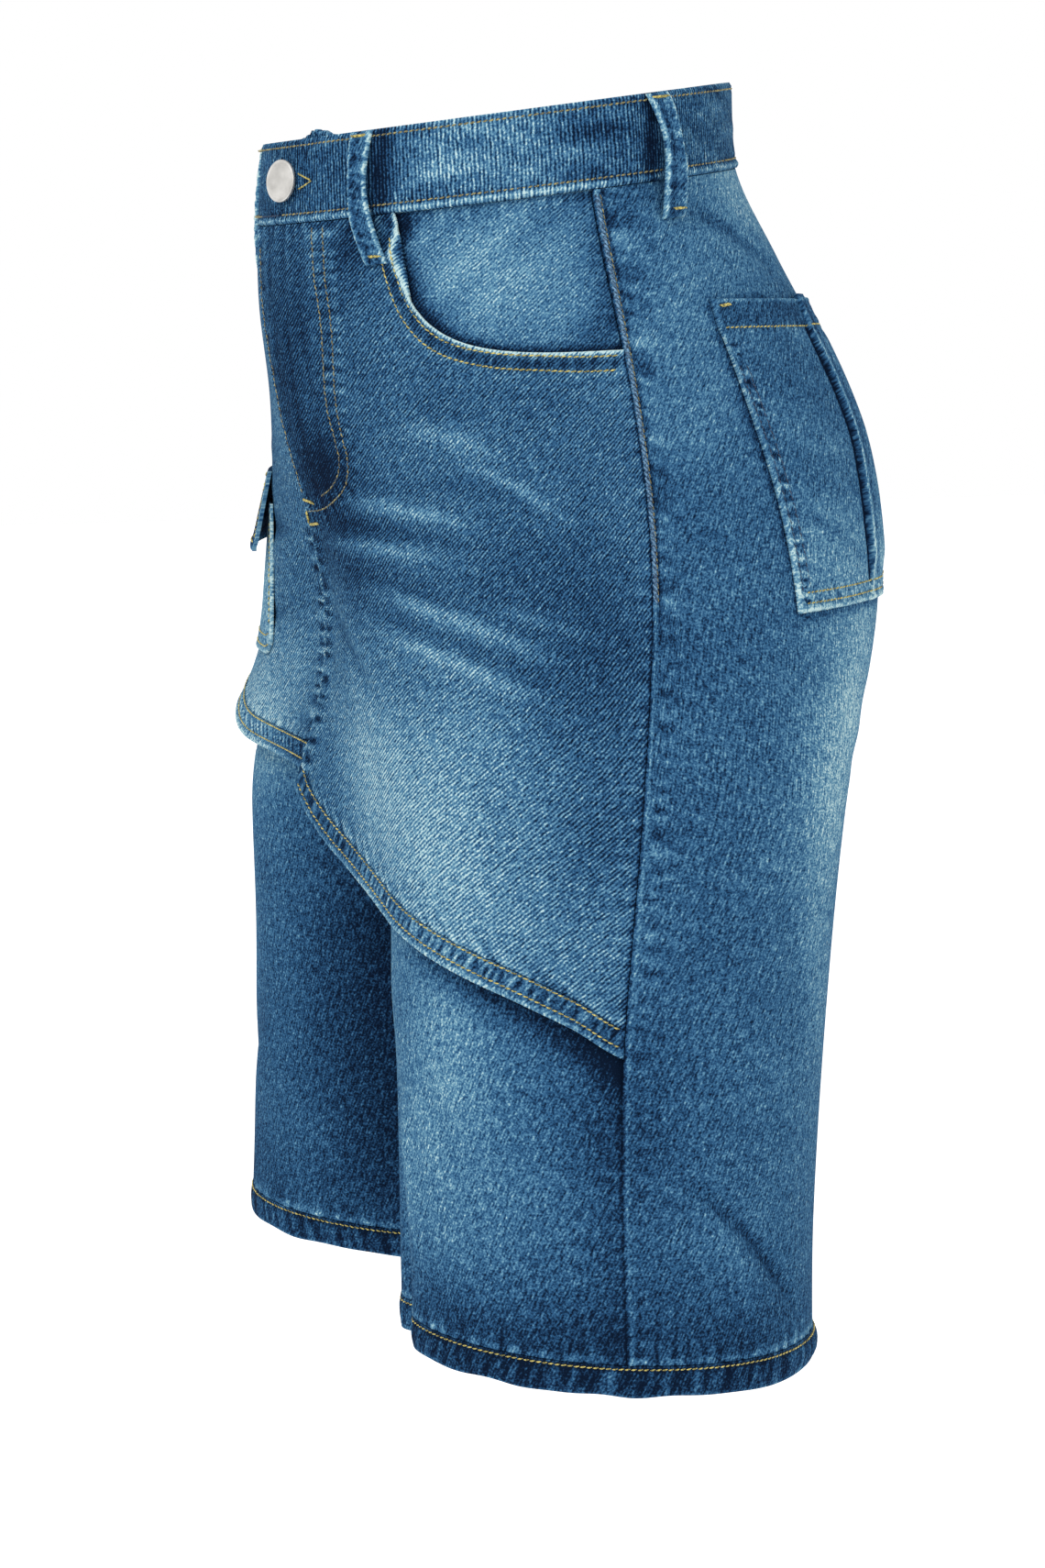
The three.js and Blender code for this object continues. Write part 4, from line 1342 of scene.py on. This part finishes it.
def loop_place(name, u, v):
    """Level, angle and the height of the loop's inner face, u across and v down."""
    _, angle, bottom, slack, (top_shift, middle_shift, foot_shift) = LOOPS[name]
    shift = mix(top_shift, foot_shift, v) + middle_shift * np.sin(np.pi * v) * 0.6
    width = LOOP_WIDTH * (1.08 - 0.26 * bell(v, 0.42, 0.24) + 0.04 * np.sin(9 * v + angle))
    turn = width / degree_mm(on_form, 0.0, float(angle))
    level = mix(LOOP_TOP, bottom, v)
    rest = PATCH_GAP + mix(BAND_OUT, LOOP_LIFT, ease(v, 0.6, 1))
    inner = rest + slack * np.sin(np.pi * np.clip(v, 0, 1)) ** 0.7
    return level, angle + shift + turn * (u - 0.5), inner


def loop_outer(name, u, v):
    """The loop's outer face: thick folded edges, a shallow middle, small cross ripples."""
    level, angle, inner = loop_place(name, u, v)
    side = np.abs(2 * u - 1)
    ripple = 0.35 * uneven(level + 4 * u, 7, angle.mean()) * np.sin(np.pi * v) ** 0.5
    edge = 0.75 * bell(side, 0.70, 0.22) - 0.9 * ease(side, 0.85, 1.0)
    ends = 0.5 * (1 - ease(v, 0, 0.05)) + 0.6 * ease(v, 0.96, 1.0)
    return inner + LOOP_CLOTH + edge + ripple - ends, ripple


def belt_loop(name):
    hand = LOOPS[name][0]
    U, V = np.meshgrid(np.linspace(0, 1, 15), np.linspace(0, 1, 52), indexing="ij")
    level, angle, inner = loop_place(name, U, V)
    outer, ripple = loop_outer(name, U, V)
    side = np.abs(2 * U - 1)
    wash_and_shade = 0.42 + 0.40 * bell(side, 0.86, 0.16) - 0.16 * bell(U, 0.36, 0.14)
    wash_and_shade += 0.10 * uneven(level, 13, 2.0) + 0.12 * (1 - ease(V, 0, 0.06))
    wash_and_shade += 0.16 * uneven(level + 5 * U, 3.1, angle.mean()) * uneven(level - 9 * U, 8, 1.0)
    _, length, area = cut_size(on_form, level, angle)
    cloth(
        f"belt_loop_{name}", DENIM, on_form, level, angle, inner, outer,
        wash_and_shade, 1.2 * ripple, hand, sheet=(LOOP_WIDTH * MM, length, area),
    )


for name in LOOPS:
    belt_loop(name)

# %% [markdown]
# ## Button
#
# The button is turned metal: a shallow dish with a rolled rim. A turned shape is a
# profile swept round an axis, so it needs one short table and no modifier.

# %% Button
BUTTON_OUT = 19
BUTTON_TURN = 9  # degrees that the cloth under it turns it towards the side
BUTTON_LEVEL = 1
BUTTON_SHANK = 0.9
BUTTON_PROFILE = table(
    "radius height",
    (0.0, 2.75), (3.0, 2.72), (6.0, 2.55), (7.6, 2.35), (8.3, 2.2), (8.7, 2.22), (9.1, 2.45),
    (9.45, 2.5), (9.7, 2.25), (9.75, 1.7), (9.7, 1.0), (9.3, 0.5), (8.6, 0.15), (7.4, 0.0),
    (0.0, 0.0),
)


def turned(name, profile, steps):
    """(radius * cos, radius * sin, height) round the axis; the two poles are single."""
    turn = np.linspace(0, 2 * np.pi, steps, endpoint=False)
    radius, height = profile["radius"], profile["height"]
    ring = np.stack([
        np.outer(np.cos(turn), radius), np.outer(np.sin(turn), radius),
        np.tile(height, (steps, 1)),
    ], -1)
    rows = len(radius)
    j, i = np.meshgrid(np.arange(rows - 1), np.arange(steps))
    a, b = i * rows + j, (i + 1) % steps * rows + j
    faces = np.stack([a, a + 1, b + 1, b], -1).reshape(-1, 4)
    made = mesh_object(name, ring.reshape(-1, 3), faces)
    shape = bmesh.new()
    shape.from_mesh(made.data)
    bmesh.ops.remove_doubles(shape, verts=shape.verts, dist=1e-6)
    bmesh.ops.recalc_face_normals(shape, faces=shape.faces)
    shape.to_mesh(made.data)
    shape.free()
    return made


def brushed_metal():
    """Dull nickel: fine scratches in the bump and a little unevenness in the shine."""
    material, tree, shader = new_material("dull_nickel", 0.42, 0.9)
    scratch = speckle(tree, 1400.0, 3.0)
    cloud = speckle(tree, 160.0, 2.0)
    colour = ramp(tree, cloud, ((0.3, linear(186, 184, 180)), (0.7, linear(214, 212, 208))))
    tree.links.new(colour, shader.inputs["Base Color"])
    dull = node(tree, "MapRange", {"Value": scratch, "To Min": 0.36, "To Max": 0.52})
    tree.links.new(dull.outputs["Result"], shader.inputs["Roughness"])
    bump(tree, shader, scratch, 0.25, 0.0001)
    return material


def button():
    disc = turned("button_metal", BUTTON_PROFILE, 72)
    angle = angle_at(BUTTON_LEVEL, BUTTON_OUT)
    out = Vector(outward(on_form, BUTTON_LEVEL, angle))
    seat = Vector(on_form(BUTTON_LEVEL, angle)) + out * (BAND_OUT + PATCH_GAP + BUTTON_SHANK)
    out.rotate(Matrix.Rotation(np.radians(BUTTON_TURN), 3, "Z"))
    turn = out.to_track_quat("Z", "Y").to_matrix().to_4x4()
    disc.data.transform(Matrix.Translation(seat * MM) @ turn)
    finish(disc, "button", brushed_metal())


button()

# %% [markdown]
# ## Back pockets
#
# A back pocket is a patch with an inverted pleat down its middle, so it can carry more
# than it shows. The cloth right of the fold lies on top over a narrow groove to its left,
# and the dark shadow in the groove is painted. The pocket's edges are folded under, which
# makes a bead, and the two rows of stitches just inside draw the cloth into a mottled
# strip of highs and lows.

# %% Back pockets
POCKET_CLOTH = 1.4
POCKET_HEM = 13
PLEAT_WIDE = 7.4
PLEAT_RISE = 2.8
PLEAT_FOLD = table(
    "level angle",
    (-72, 139.5), (-84, 136.4), (-98, 134.4), (-121, 135.6), (-141, 136.4), (-160, 135.6),
    (-181, 135.8), (-204, 137.6), (-215, 138.2),
)


def pleat_fold(level):
    """The angle of the pleat's left fold, which bends with the body."""
    return through(PLEAT_FOLD, "level", "angle", level)


def pleat_rise(level, angle):
    """1 on the pleat's raised cloth, 0 beside it, and degrees beyond its left fold."""
    beyond = angle - pleat_fold(level)
    rise = ease(beyond, -0.25, 0.1) * (1 - ease(beyond, PLEAT_WIDE - 0.1, PLEAT_WIDE + 0.25))
    return rise, beyond


def pocket_relief(hand, level, angle):
    """Height over the form with its puckers, the puckers alone, and how much lighter or darker to
    paint it, wear and the painted shadow beside the pleat's fold included.
    """
    seed = 31.0 if hand == "left" else 37.0
    left, right = pocket_sides(level)
    per_degree = turn_mm(level)
    side = np.minimum(angle - left, right - angle) * per_degree
    low = level - POCKET_BOTTOM
    high = pocket_top(angle) - level
    rise, beyond = pleat_rise(level, angle)
    swell = np.sin(np.pi * np.clip((angle - left) / (right - left), 0, 1))
    swell *= np.sin(np.pi * np.clip(high / (POCKET_TOP - POCKET_BOTTOM), 0, 1))
    height = PATCH_GAP + POCKET_CLOTH + 2.0 * swell
    rim = np.minimum(np.minimum(side, low), high)
    height += 0.55 * bell(rim, 1.2, 1.1) - 0.9 * (1 - ease(rim, 0, 0.9))
    height += 0.45 * (1 - ease(high, POCKET_HEM, POCKET_HEM + 1.5))
    height -= 0.35 * bell(high - POCKET_HEM, -0.2, 0.9)
    for row in (4.0, 8.6):
        height -= 0.30 * bell(low, row, 0.8)
    pleat = PLEAT_RISE * rise * mix(0.45, 1, ease(low, 9, 22)) * mix(0.7, 1, ease(high, 8, 22))
    shut = bell(beyond, -0.7, 0.55) * ease(high, 10, 16) * ease(low, 6, 12)
    height += pleat - 0.5 * shut
    along = level + 0.15 * angle
    strip = bell(side, 5.6, 2.9) * ease(high, 14, 24)
    across = angle * per_degree
    puckers = strip * 0.85 * uneven(along, 6.4, seed)
    puckers += puckered(
        seed + 1, (0.32, low - 6, across, 5, 6), (0.25, high - 14, across, 5, 7)
    )
    # Painted shadow in the pleat's groove, just left of its fold.
    fade_and_shade = 0.30 * bell(rim, 1.0, 1.0) - 0.85 * shut + 0.06 * rise
    fade_and_shade += 0.26 * bell(beyond, 0.55, 0.45) * ease(high, 6, 14)
    fade_and_shade -= 0.16 * bell(beyond, 2.2, 0.9) * rise
    fade_and_shade += 0.20 * ease(high, 66, 128) - 0.12 * (1 - ease(high, 9, 16))
    fade_and_shade += 0.05 * uneven(along + angle, 31, seed) - 0.08 * strip
    fade_and_shade += 0.26 * strip * uneven(along - 0.6 * side, 3.7, seed + 3)
    return height + puckers, puckers, fade_and_shade


def pocket_place(U, T):
    """Columns crowd at the pleat's two folds; the raised cloth tops the edge a little."""
    level = mix(POCKET_TOP - 5, POCKET_BOTTOM, T)
    left, right = pocket_sides(level)
    fold = pleat_fold(level)
    far = fold + PLEAT_WIDE
    stops = (left, fold - 1.6, fold + 1.2, far - 0.4, far + 0.5, right)
    at = (0, 0.40, 0.52, 0.64, 0.70, 1)
    angle = left
    for k in range(5):
        part = np.clip((U - at[k]) / (at[k + 1] - at[k]), 0, 1)
        angle = angle + part * (stops[k + 1] - stops[k])
    rise, _ = pleat_rise(level, angle)
    level = mix(pocket_top(angle), POCKET_BOTTOM, T)
    return level + 1.6 * rise * (1 - ease(T, 0, 0.07)), angle


def back_pocket(hand):
    U, T = np.meshgrid(np.linspace(0, 1, 101), crowded(0, 1, 1 / 92, 0.5), indexing="ij")
    level, angle = pocket_place(U, T)
    outer, puckers, fade_and_shade = pocket_relief(hand, level, angle)
    inner = np.minimum(outer - POCKET_CLOTH, PATCH_GAP + 1.6)
    cloth(
        f"back_pocket_{hand}", DENIM, on_form, level, angle,
        np.maximum(inner, PATCH_GAP), outer, 0.43 + fade_and_shade, PALE_PUCKERS * puckers, hand,
    )


both(back_pocket)

# %% [markdown]
# ## Cargo pocket and flap
#
# The right thigh carries a small cargo pocket: a patch with rounded lower corners, and a
# flap of stiffer cloth, painted dark as shade, that is sewn only along its top and stands away
# below.

# %% Cargo pocket
CARGO_INNER = 0.27
CARGO_OUTER = 0.76
CARGO_TOP = -166
CARGO_BOTTOM = -247
CARGO_CORNER = 12
CARGO_CLOTH = 1.3
CARGO_WIDE = 96  # millimetres across, for the spacing of puckers


def cargo_place(U, T):
    """Level and angle; the lower corners lift as the last tenth of an ellipse does."""
    corner = np.clip((np.abs(2 * U - 1) - 0.76) / 0.24, 0, 1)
    bottom = CARGO_BOTTOM + CARGO_CORNER * (1 - np.sqrt(1 - corner ** 2 * 0.98))
    level = mix(CARGO_TOP, bottom, T)
    return level, skirt_angle("right", level, mix(CARGO_INNER, CARGO_OUTER, U))


def cargo_relief(U, T, level):
    """Height over the form with its puckers, the puckers alone, and how much paler its wear makes
    it.
    """
    side = np.minimum(U, 1 - U) * CARGO_WIDE
    low = (1 - T) * (CARGO_TOP - CARGO_BOTTOM)
    rim = np.minimum(side, low)
    share = mix(CARGO_INNER, CARGO_OUTER, U)
    height = skirt_flare("right", share, level) + 1.6 * np.sin(np.pi * U) * np.sin(np.pi * T)
    height += PATCH_GAP + CARGO_CLOTH + 0.45 * bell(rim, 1.2, 1.1)
    height -= 0.8 * (1 - ease(rim, 0, 0.9)) + 0.25 * bell(low, 4, 0.8)
    height -= 0.25 * bell(low, 10, 0.8)
    puckers = puckered(
        41.0, (0.4, side - 5, level, 3, 7), (0.3, low - 7, U * CARGO_WIDE, 4, 6)
    )
    fade_and_shade = 0.22 * bell(rim, 1.0, 1.2) + 0.10 * np.sin(np.pi * T)
    return height + puckers, puckers, fade_and_shade


def cargo_pocket():
    U, T = shares(60, 52, 0.6, 0.5)
    level, angle = cargo_place(U, T)
    outer, puckers, fade_and_shade = cargo_relief(U, T, level)
    under = skirt_flare("right", mix(CARGO_INNER, CARGO_OUTER, U), level) + PATCH_GAP
    inner = np.minimum(np.maximum(outer - CARGO_CLOTH, under), outer - 0.3)
    cloth(
        "cargo_pocket", DENIM, on_skirt, level, angle, inner, outer,
        0.60 + fade_and_shade, 1.4 * puckers, "right",
    )


# %% Cargo flap
FLAP_TOP = -149
FLAP_BOTTOM = -191
FLAP_LONG = FLAP_TOP - FLAP_BOTTOM
FLAP_CLOTH = 1.8
FLAP_STAND = 8


def flap_height(U, T):
    """The flap stands out as it falls, and waves a little along its free edge."""
    wave = 0.5 * np.sin(7 * U + 1) * T ** 2
    bead = 0.4 * bell(T, 0.95, 0.04) + 0.3 * bell((np.minimum(U, 1 - U) - 0.02) / 0.015)
    return PATCH_GAP + FLAP_STAND * T ** 0.9 + FLAP_CLOTH + wave + bead


def flap_place(U, T):
    level = mix(FLAP_TOP, FLAP_BOTTOM, T)
    return level, skirt_angle("right", level, mix(CARGO_INNER, CARGO_OUTER, U))


def cargo_flap():
    U, T = shares(60, 34, 0.6, 0.5)
    level, angle = flap_place(U, T)
    outer = flap_height(U, T)
    across, down = U * CARGO_WIDE, T * FLAP_LONG
    rim = np.minimum(np.minimum(across, CARGO_WIDE - across), FLAP_LONG - down)
    pucker = drawn_up(rim - 4, across + down, 3, 7, 45.0)
    # Painted shade: the flap is given a dark base, and its rubbed edges are paler.
    wash_and_shade = 0.22 + 0.46 * bell(rim, 0.6, 1.3) + 0.06 * uneven(across, 21, 2.0)
    cloth(
        "cargo_flap", DENIM_DARK, on_skirt, level, angle, outer - FLAP_CLOTH,
        outer + 0.25 * pucker, wash_and_shade, 0.6 * pucker, "right",
    )


cargo_pocket()
cargo_flap()

# %% [markdown]
# ## Stitches
#
# Every row of stitches is real thread: a short round stitch that dips into the cloth at
# both ends, leaning a little off the row as lockstitch does. One call walks along a line
# on a surface and gives the ends of its stitches; another turns all the ends of a piece
# into one mesh. Bar tacks are the same stitches laid side by side.

# %% Thread
STITCH_PITCH = 2.9
STITCH_LONG = 2.6
STITCH_LEAN = 0.28
STITCH_SINK = 0.10
TACK_WIDE = 2.0


def on_side(hand, ends):
    """Everything is laid out for the left; the right is its mirror image."""
    return ends * [-1, 1, 1] if hand == "right" else ends


def row_ends(surface, level, angle, height, hand="left", pitch=STITCH_PITCH,
             long=STITCH_LONG, lean=STITCH_LEAN):
    """Start, end and normal of each stitch along a line at a height over a surface."""
    normal = outward(surface, level, angle)
    points = surface(level, angle) + normal * np.broadcast_to(height, level.shape)[..., None]
    run = running(points)
    starts = np.arange(0.5, run[-1] - long, pitch)

    def at(s, values):
        return np.stack([np.interp(s, run, values[:, k]) for k in range(3)], -1)

    a, b, up = at(starts, points), at(starts + long, points), at(starts + long / 2, normal)
    aside = unit(np.cross(b - a, up)) * lean
    return on_side(hand, np.stack([a + aside, b - aside, up]))


def tack_ends(surface, start, stop, wide, height, hand="left", step=0.62):
    """Close stitches across a line from start to stop, each a (level, angle) place."""
    level, angle = np.linspace(start, stop, 40).T
    a, b, up = row_ends(surface, level, angle, height, "left", step, step * 0.9)
    along = unit(b - a)
    across = np.cross(along, up) * wide / 2
    slant = along * step * 0.4
    middle = (a + b) / 2
    return on_side(hand, np.stack([middle - across - slant, middle + across + slant, up]))


def threads(name, rows, material, radius=0.40, lift=0.28):
    """Three rings of six points for each stitch: low and thin at its ends, full and
    raised in its middle, closed by two flat quads at each end."""
    a, b, up = np.concatenate(rows, axis=1)
    up = unit(up)
    along = unit(b - a)
    side = np.cross(along, up)
    turn = np.radians(np.arange(0, 360, 60))
    rings = []
    for t, thick, rise in ((0, 0.55, -STITCH_SINK), (0.5, 1.0, lift), (1, 0.55, -STITCH_SINK)):
        centre = mix(a, b, t) + up * rise
        spoke = np.cos(turn)[:, None] * side[:, None] + np.sin(turn)[:, None] * up[:, None]
        rings.append(centre[:, None] + radius * thick * spoke)
    points = np.concatenate(rings, axis=1).reshape(-1, 3)
    k = np.arange(6)
    tube = [np.stack([r + k, r + (k + 1) % 6, r + 6 + (k + 1) % 6, r + 6 + k], -1) for r in (0, 6)]
    caps = [[0, 3, 2, 1], [0, 5, 4, 3], [12, 13, 14, 15], [12, 15, 16, 17]]
    one = np.concatenate([*tube, caps])
    faces = (np.arange(a.shape[0])[:, None, None] * 18 + one).reshape(-1, 4)
    made = mesh_object(name, points, faces, sharp=80)
    made.data.materials.append(material)
    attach(made, "root")
    print(name, a.shape[0], "stitches")


def skirt_row(hand, path):
    level, angle = path
    return row_ends(on_skirt, level, angle, skirt_relief(hand, level, angle)[0], hand)


def band_row(level, start, stop):
    angle = np.linspace(start, stop, int(abs(stop - start) * 3))
    level = np.full(angle.shape, level)
    return row_ends(on_form, level, angle, band_relief(level, angle)[0])


def shifted(path, out):
    """The same line moved sideways, to its left where out is positive."""
    flat = flat_place(*path)
    step = unit(np.gradient(flat, axis=0))
    flat += out * np.stack([-step[:, 1], step[:, 0]], -1)
    centre, half, _, _ = section(flat[:, 1])
    return flat[:, 1], np.degrees((flat[:, 0] - centre) / half)


# %% Stitches of the skirt fronts
def hem_row(hand, T):
    share = np.linspace(0.006, 0.994, 400)
    level = skirt_edge_level(hand, share) + SKIRT_HEM * (1 - T)
    angle = skirt_angle(hand, level, share)
    height = skirt_flare(hand, share, level) + skirt_hem_height(hand, share, T)[0]
    height += 0.3 * folds(hand, level, angle)
    return row_ends(on_skirt, level, angle, height, hand)


for hand in ("left", "right"):
    mouth_path = line(
        (-30, MOUTH_START - 0.4), (-52, MOUTH_START + 0.4), (-66, 42.6), (-76, 45.8),
        (-82, 50.5), (-86.6, 58), (-89.2, 67), (-91, 75), (-91.8, float(side_seam(-92)) - 0.1),
    )
    rows = [skirt_row(hand, shifted(mouth_path, out)) for out in (-2.0, -8.2)]
    rows += [hem_row(hand, 0.055), hem_row(hand, 0.66)]
    threads(f"skirt_stitches_{hand}", rows, MUSTARD)

fly_rows = [skirt_row("left", FLY_J), skirt_row("left", FLY_J_INNER)]
fly_edge_level = np.linspace(-30, -156, 260)
fly_edge = (fly_edge_level, angle_at(fly_edge_level, skirt_centre("left", fly_edge_level) + 2.3))
threads("fly_stitches", [*fly_rows, skirt_row("left", fly_edge)], KHAKI, radius=0.34, lift=0.18)


def fly_tack(start, stop):
    """A bar tack between two places, each a level and a distance out."""
    a, b = [(level, float(angle_at(level, out))) for level, out in (start, stop)]
    height = skirt_relief("left", np.array(a[0]), np.array(a[1]))[0] + 0.2
    return tack_ends(on_skirt, a, b, TACK_WIDE, float(height))


threads("fly_bar_tacks", [
    fly_tack((-159, 0.5), (-160, 14)),
    fly_tack((-165, 1), (-171, 1.2)),
    fly_tack((-172, 0.8), (-170.5, 14)),
], MUSTARD)

# %% Stitches of the waistband and belt loops
threads("waistband_stitches", [
    band_row(16.5, BAND_START + 1.2, BAND_END - 26),
    band_row(-15.2, BAND_START + 14, BAND_END - 26),
], KHAKI, radius=0.46)
threads("waistband_navy_stitches", [
    band_row(-15.2, BAND_START + 1.2, BAND_START + 13),
], NAVY_THREAD)

loop_rows = []
for name, (hand, *_) in LOOPS.items():
    for v, start, stop in ((0.035, 0.1, 0.9), (0.945, 0.35, 0.95)):
        u = np.linspace(start, stop, 30)
        level, angle, _ = loop_place(name, u, np.full(30, v))
        height = loop_outer(name, u, np.full(30, v))[0].mean() + 0.2
        places = (float(level[0]), float(angle[0])), (float(level[-1]), float(angle[-1]))
        loop_rows.append(tack_ends(on_form, *places, TACK_WIDE, height, hand, 0.7))
threads("belt_loop_bar_tacks", loop_rows, MUSTARD, radius=0.30)

eye = line(
    (4.2, 13.4), (2.6, 15.6), (0.8, 17.6), (-0.4, 18.3), (-1.2, 17.0), (-2.2, 15.2),
    (-3.2, 13.8),
)
eye_height = band_relief(*eye)[0] + 0.15
eye_rows = [
    tack_ends(on_form, (4.0, 13.4), (0.3, 18.0), 1.5, float(eye_height[0]), step=0.55),
    tack_ends(on_form, (-3.4, 13.6), (0.0, 18.0), 1.5, float(eye_height[-1]), step=0.55),
]
threads("buttonhole", eye_rows, MUSTARD, radius=0.26)

# %% Stitches of the back
def pocket_row(hand, level, angle):
    return row_ends(on_form, level, angle, pocket_relief(hand, level, angle)[0], hand)


def back_row(hand, level, angle):
    height = sum(back_relief(hand, level, angle)) + folds(hand, level, angle)
    return row_ends(on_form, level, angle, height, hand)


for hand in ("left", "right"):
    rows = []
    for below in (POCKET_HEM, 130.4, 135.0):
        left, right = pocket_sides(POCKET_TOP - float(below))
        inset = 3.2 if below == POCKET_HEM else 5.4
        angle = np.linspace(left + inset / 2.6, right - inset / 2.6, 160)
        top = pocket_top(angle) if below == POCKET_HEM else POCKET_TOP
        rows.append(pocket_row(hand, np.broadcast_to(top - below, angle.shape), angle))
    threads(f"back_pocket_stitches_{hand}", rows, MUSTARD)
    rows = []
    for inset in (3.4, 8.0):
        level = np.linspace(POCKET_TOP - 30, POCKET_BOTTOM + 9, 200)
        left, right = pocket_sides(level)
        per_degree = turn_mm(level)
        rows.append(pocket_row(hand, level, left + inset / per_degree))
        rows.append(pocket_row(hand, level, right - inset / per_degree))
    threads(f"back_pocket_side_stitches_{hand}", rows, NAVY_THREAD, radius=0.36, lift=0.06)
    left, right = pocket_sides(POCKET_TOP - 4.0)
    high = float(pocket_relief(hand, np.array(-78.0), np.array(left + 2.6))[0]) + 0.2
    low_top = float(pocket_top(right))
    threads(f"back_pocket_bar_tacks_{hand}", [
        tack_ends(on_form, (-78.0, left + 1.4), (-77.6, left + 4.4), 2.2, high, hand),
        tack_ends(on_form, (low_top - 3, right - 4.4), (low_top - 3, right - 1.4), 2.2, high, hand),
    ], MUSTARD)
    level = np.linspace(PANEL_TOP - 2, -204, 260)
    per_degree = turn_mm(level)
    seam = side_seam(level)
    cord = seam + 1.9 / per_degree
    height = sum(back_relief(hand, level, cord)) + folds(hand, level, cord)
    strands = row_ends(on_form, level, cord, height, hand, 2.5, 3.4, 0.95)
    threads(f"side_seam_cord_{hand}", [strands], STRAND, radius=0.66, lift=0.30)
    threads(f"side_seam_stitches_{hand}", [back_row(hand, level, seam + 3.7 / per_degree)],
            KHAKI, radius=0.34, lift=0.16)
    if hand == "left":
        level = np.linspace(PANEL_TOP - 2, -296, 330)
        rows = [back_row(hand, level, 180 - angle_at(level, inset)) for inset in (2.0, 7.5)]
        threads("centre_back_stitches", rows, NAVY_THREAD, radius=0.28, lift=0.10)

for hand in ("left", "right"):
    angle = np.linspace(-90, 270, 1400)
    level = leg_hem_level(angle) + LEG_HEM_STITCH
    high, _ = leg_hem_relief(hand, level, angle, 1 - LEG_HEM_STITCH / LEG_HEM)
    threads(f"leg_hem_stitches_{hand}", [row_ends(on_form, level, angle, high, hand)], MUSTARD)

# %% Stitches of the cargo pocket and flap
def cargo_row(U, T):
    U, T = np.broadcast_arrays(U, T)
    level, angle = cargo_place(U, T)
    return row_ends(on_skirt, level, angle, cargo_relief(U, T, level)[0], "right")


def flap_row(U, T):
    U, T = np.broadcast_arrays(U, T)
    return row_ends(on_skirt, *flap_place(U, T), flap_height(U, T), "right")


down = np.linspace(0.12, 0.86, 120)
across = np.linspace(0.05, 0.95, 120)
threads("cargo_stitches", [
    cargo_row(0.035, down), cargo_row(0.965, down),
    cargo_row(across, 0.95), cargo_row(across, 0.877),
    flap_row(0.04, down), flap_row(0.96, down),
    flap_row(across, 0.90), flap_row(across, 0.06),
], MUSTARD)

# %% [markdown]
# ## Stage, light and camera
#
# The stage is plain: a pale floor well below, where the wearer would stand, a white
# surround and large soft lights. The camera stands to the wearer's left and a little in
# front, level with the skirt, and looks slightly down.

# %% Floor and lights
FLOOR_DROP = 0.5
FLOOR_REACH = 12.0
floor_mesh = bpy.data.meshes.new("floor")
floor_z = cad_box[0].z - FLOOR_DROP
corners = [
    (x * FLOOR_REACH, y * FLOOR_REACH, floor_z) for x, y in ((-1, -1), (1, -1), (1, 1), (-1, 1))
]
floor_mesh.from_pydata(corners, [], [(0, 1, 2, 3)])
floor = bpy.data.objects.new("floor", floor_mesh)
bpy.context.scene.collection.objects.link(floor)
pale, _, shader = new_material("pale_floor", 0.9)
shader.inputs["Base Color"].default_value = (0.95, 0.95, 0.95, 1)
shader.inputs["Emission Color"].default_value = (1, 1, 1, 1)
shader.inputs["Emission Strength"].default_value = 0.35
floor.data.materials.append(pale)

world = bpy.data.worlds.new("white_room")
bpy.context.scene.world = world
world.use_nodes = True
background = world.node_tree.nodes["Background"]
background.inputs["Color"].default_value = (1, 1, 1, 1)
background.inputs["Strength"].default_value = 1.0


LIGHT_AIM = Vector((0, 0, -0.28))


def soft_light(name, place, size, power):
    light = bpy.data.lights.new(name, "AREA")
    light.size = size
    light.energy = power
    lamp = bpy.data.objects.new(name, light)
    lamp.location = place
    lamp.rotation_euler = (LIGHT_AIM - Vector(place)).to_track_quat("-Z", "Y").to_euler()
    bpy.context.scene.collection.objects.link(lamp)


soft_light("key", (1.0, -1.5, 1.4), 0.8, 22)
soft_light("fill", (1.9, 0.3, 0.5), 1.2, 5)

# %% Camera
CAMERA_PLACE = (1.3903, -0.5895, -0.0679)
CAMERA_TURN = 66.5
CAMERA_DOWN = 8.98
CAMERA_LENS = 70.61
CAMERA_SENSOR = 36
camera_data = bpy.data.cameras.new("camera")
camera_data.lens = CAMERA_LENS
camera_data.sensor_width = CAMERA_SENSOR
camera = bpy.data.objects.new("camera", camera_data)
camera.location = CAMERA_PLACE
camera.rotation_euler = np.radians([90 - CAMERA_DOWN, 0, CAMERA_TURN])
bpy.context.scene.collection.objects.link(camera)
bpy.context.scene.camera = camera
bpy.context.scene.view_settings.view_transform = "Standard"
print("camera at", CAMERA_PLACE)
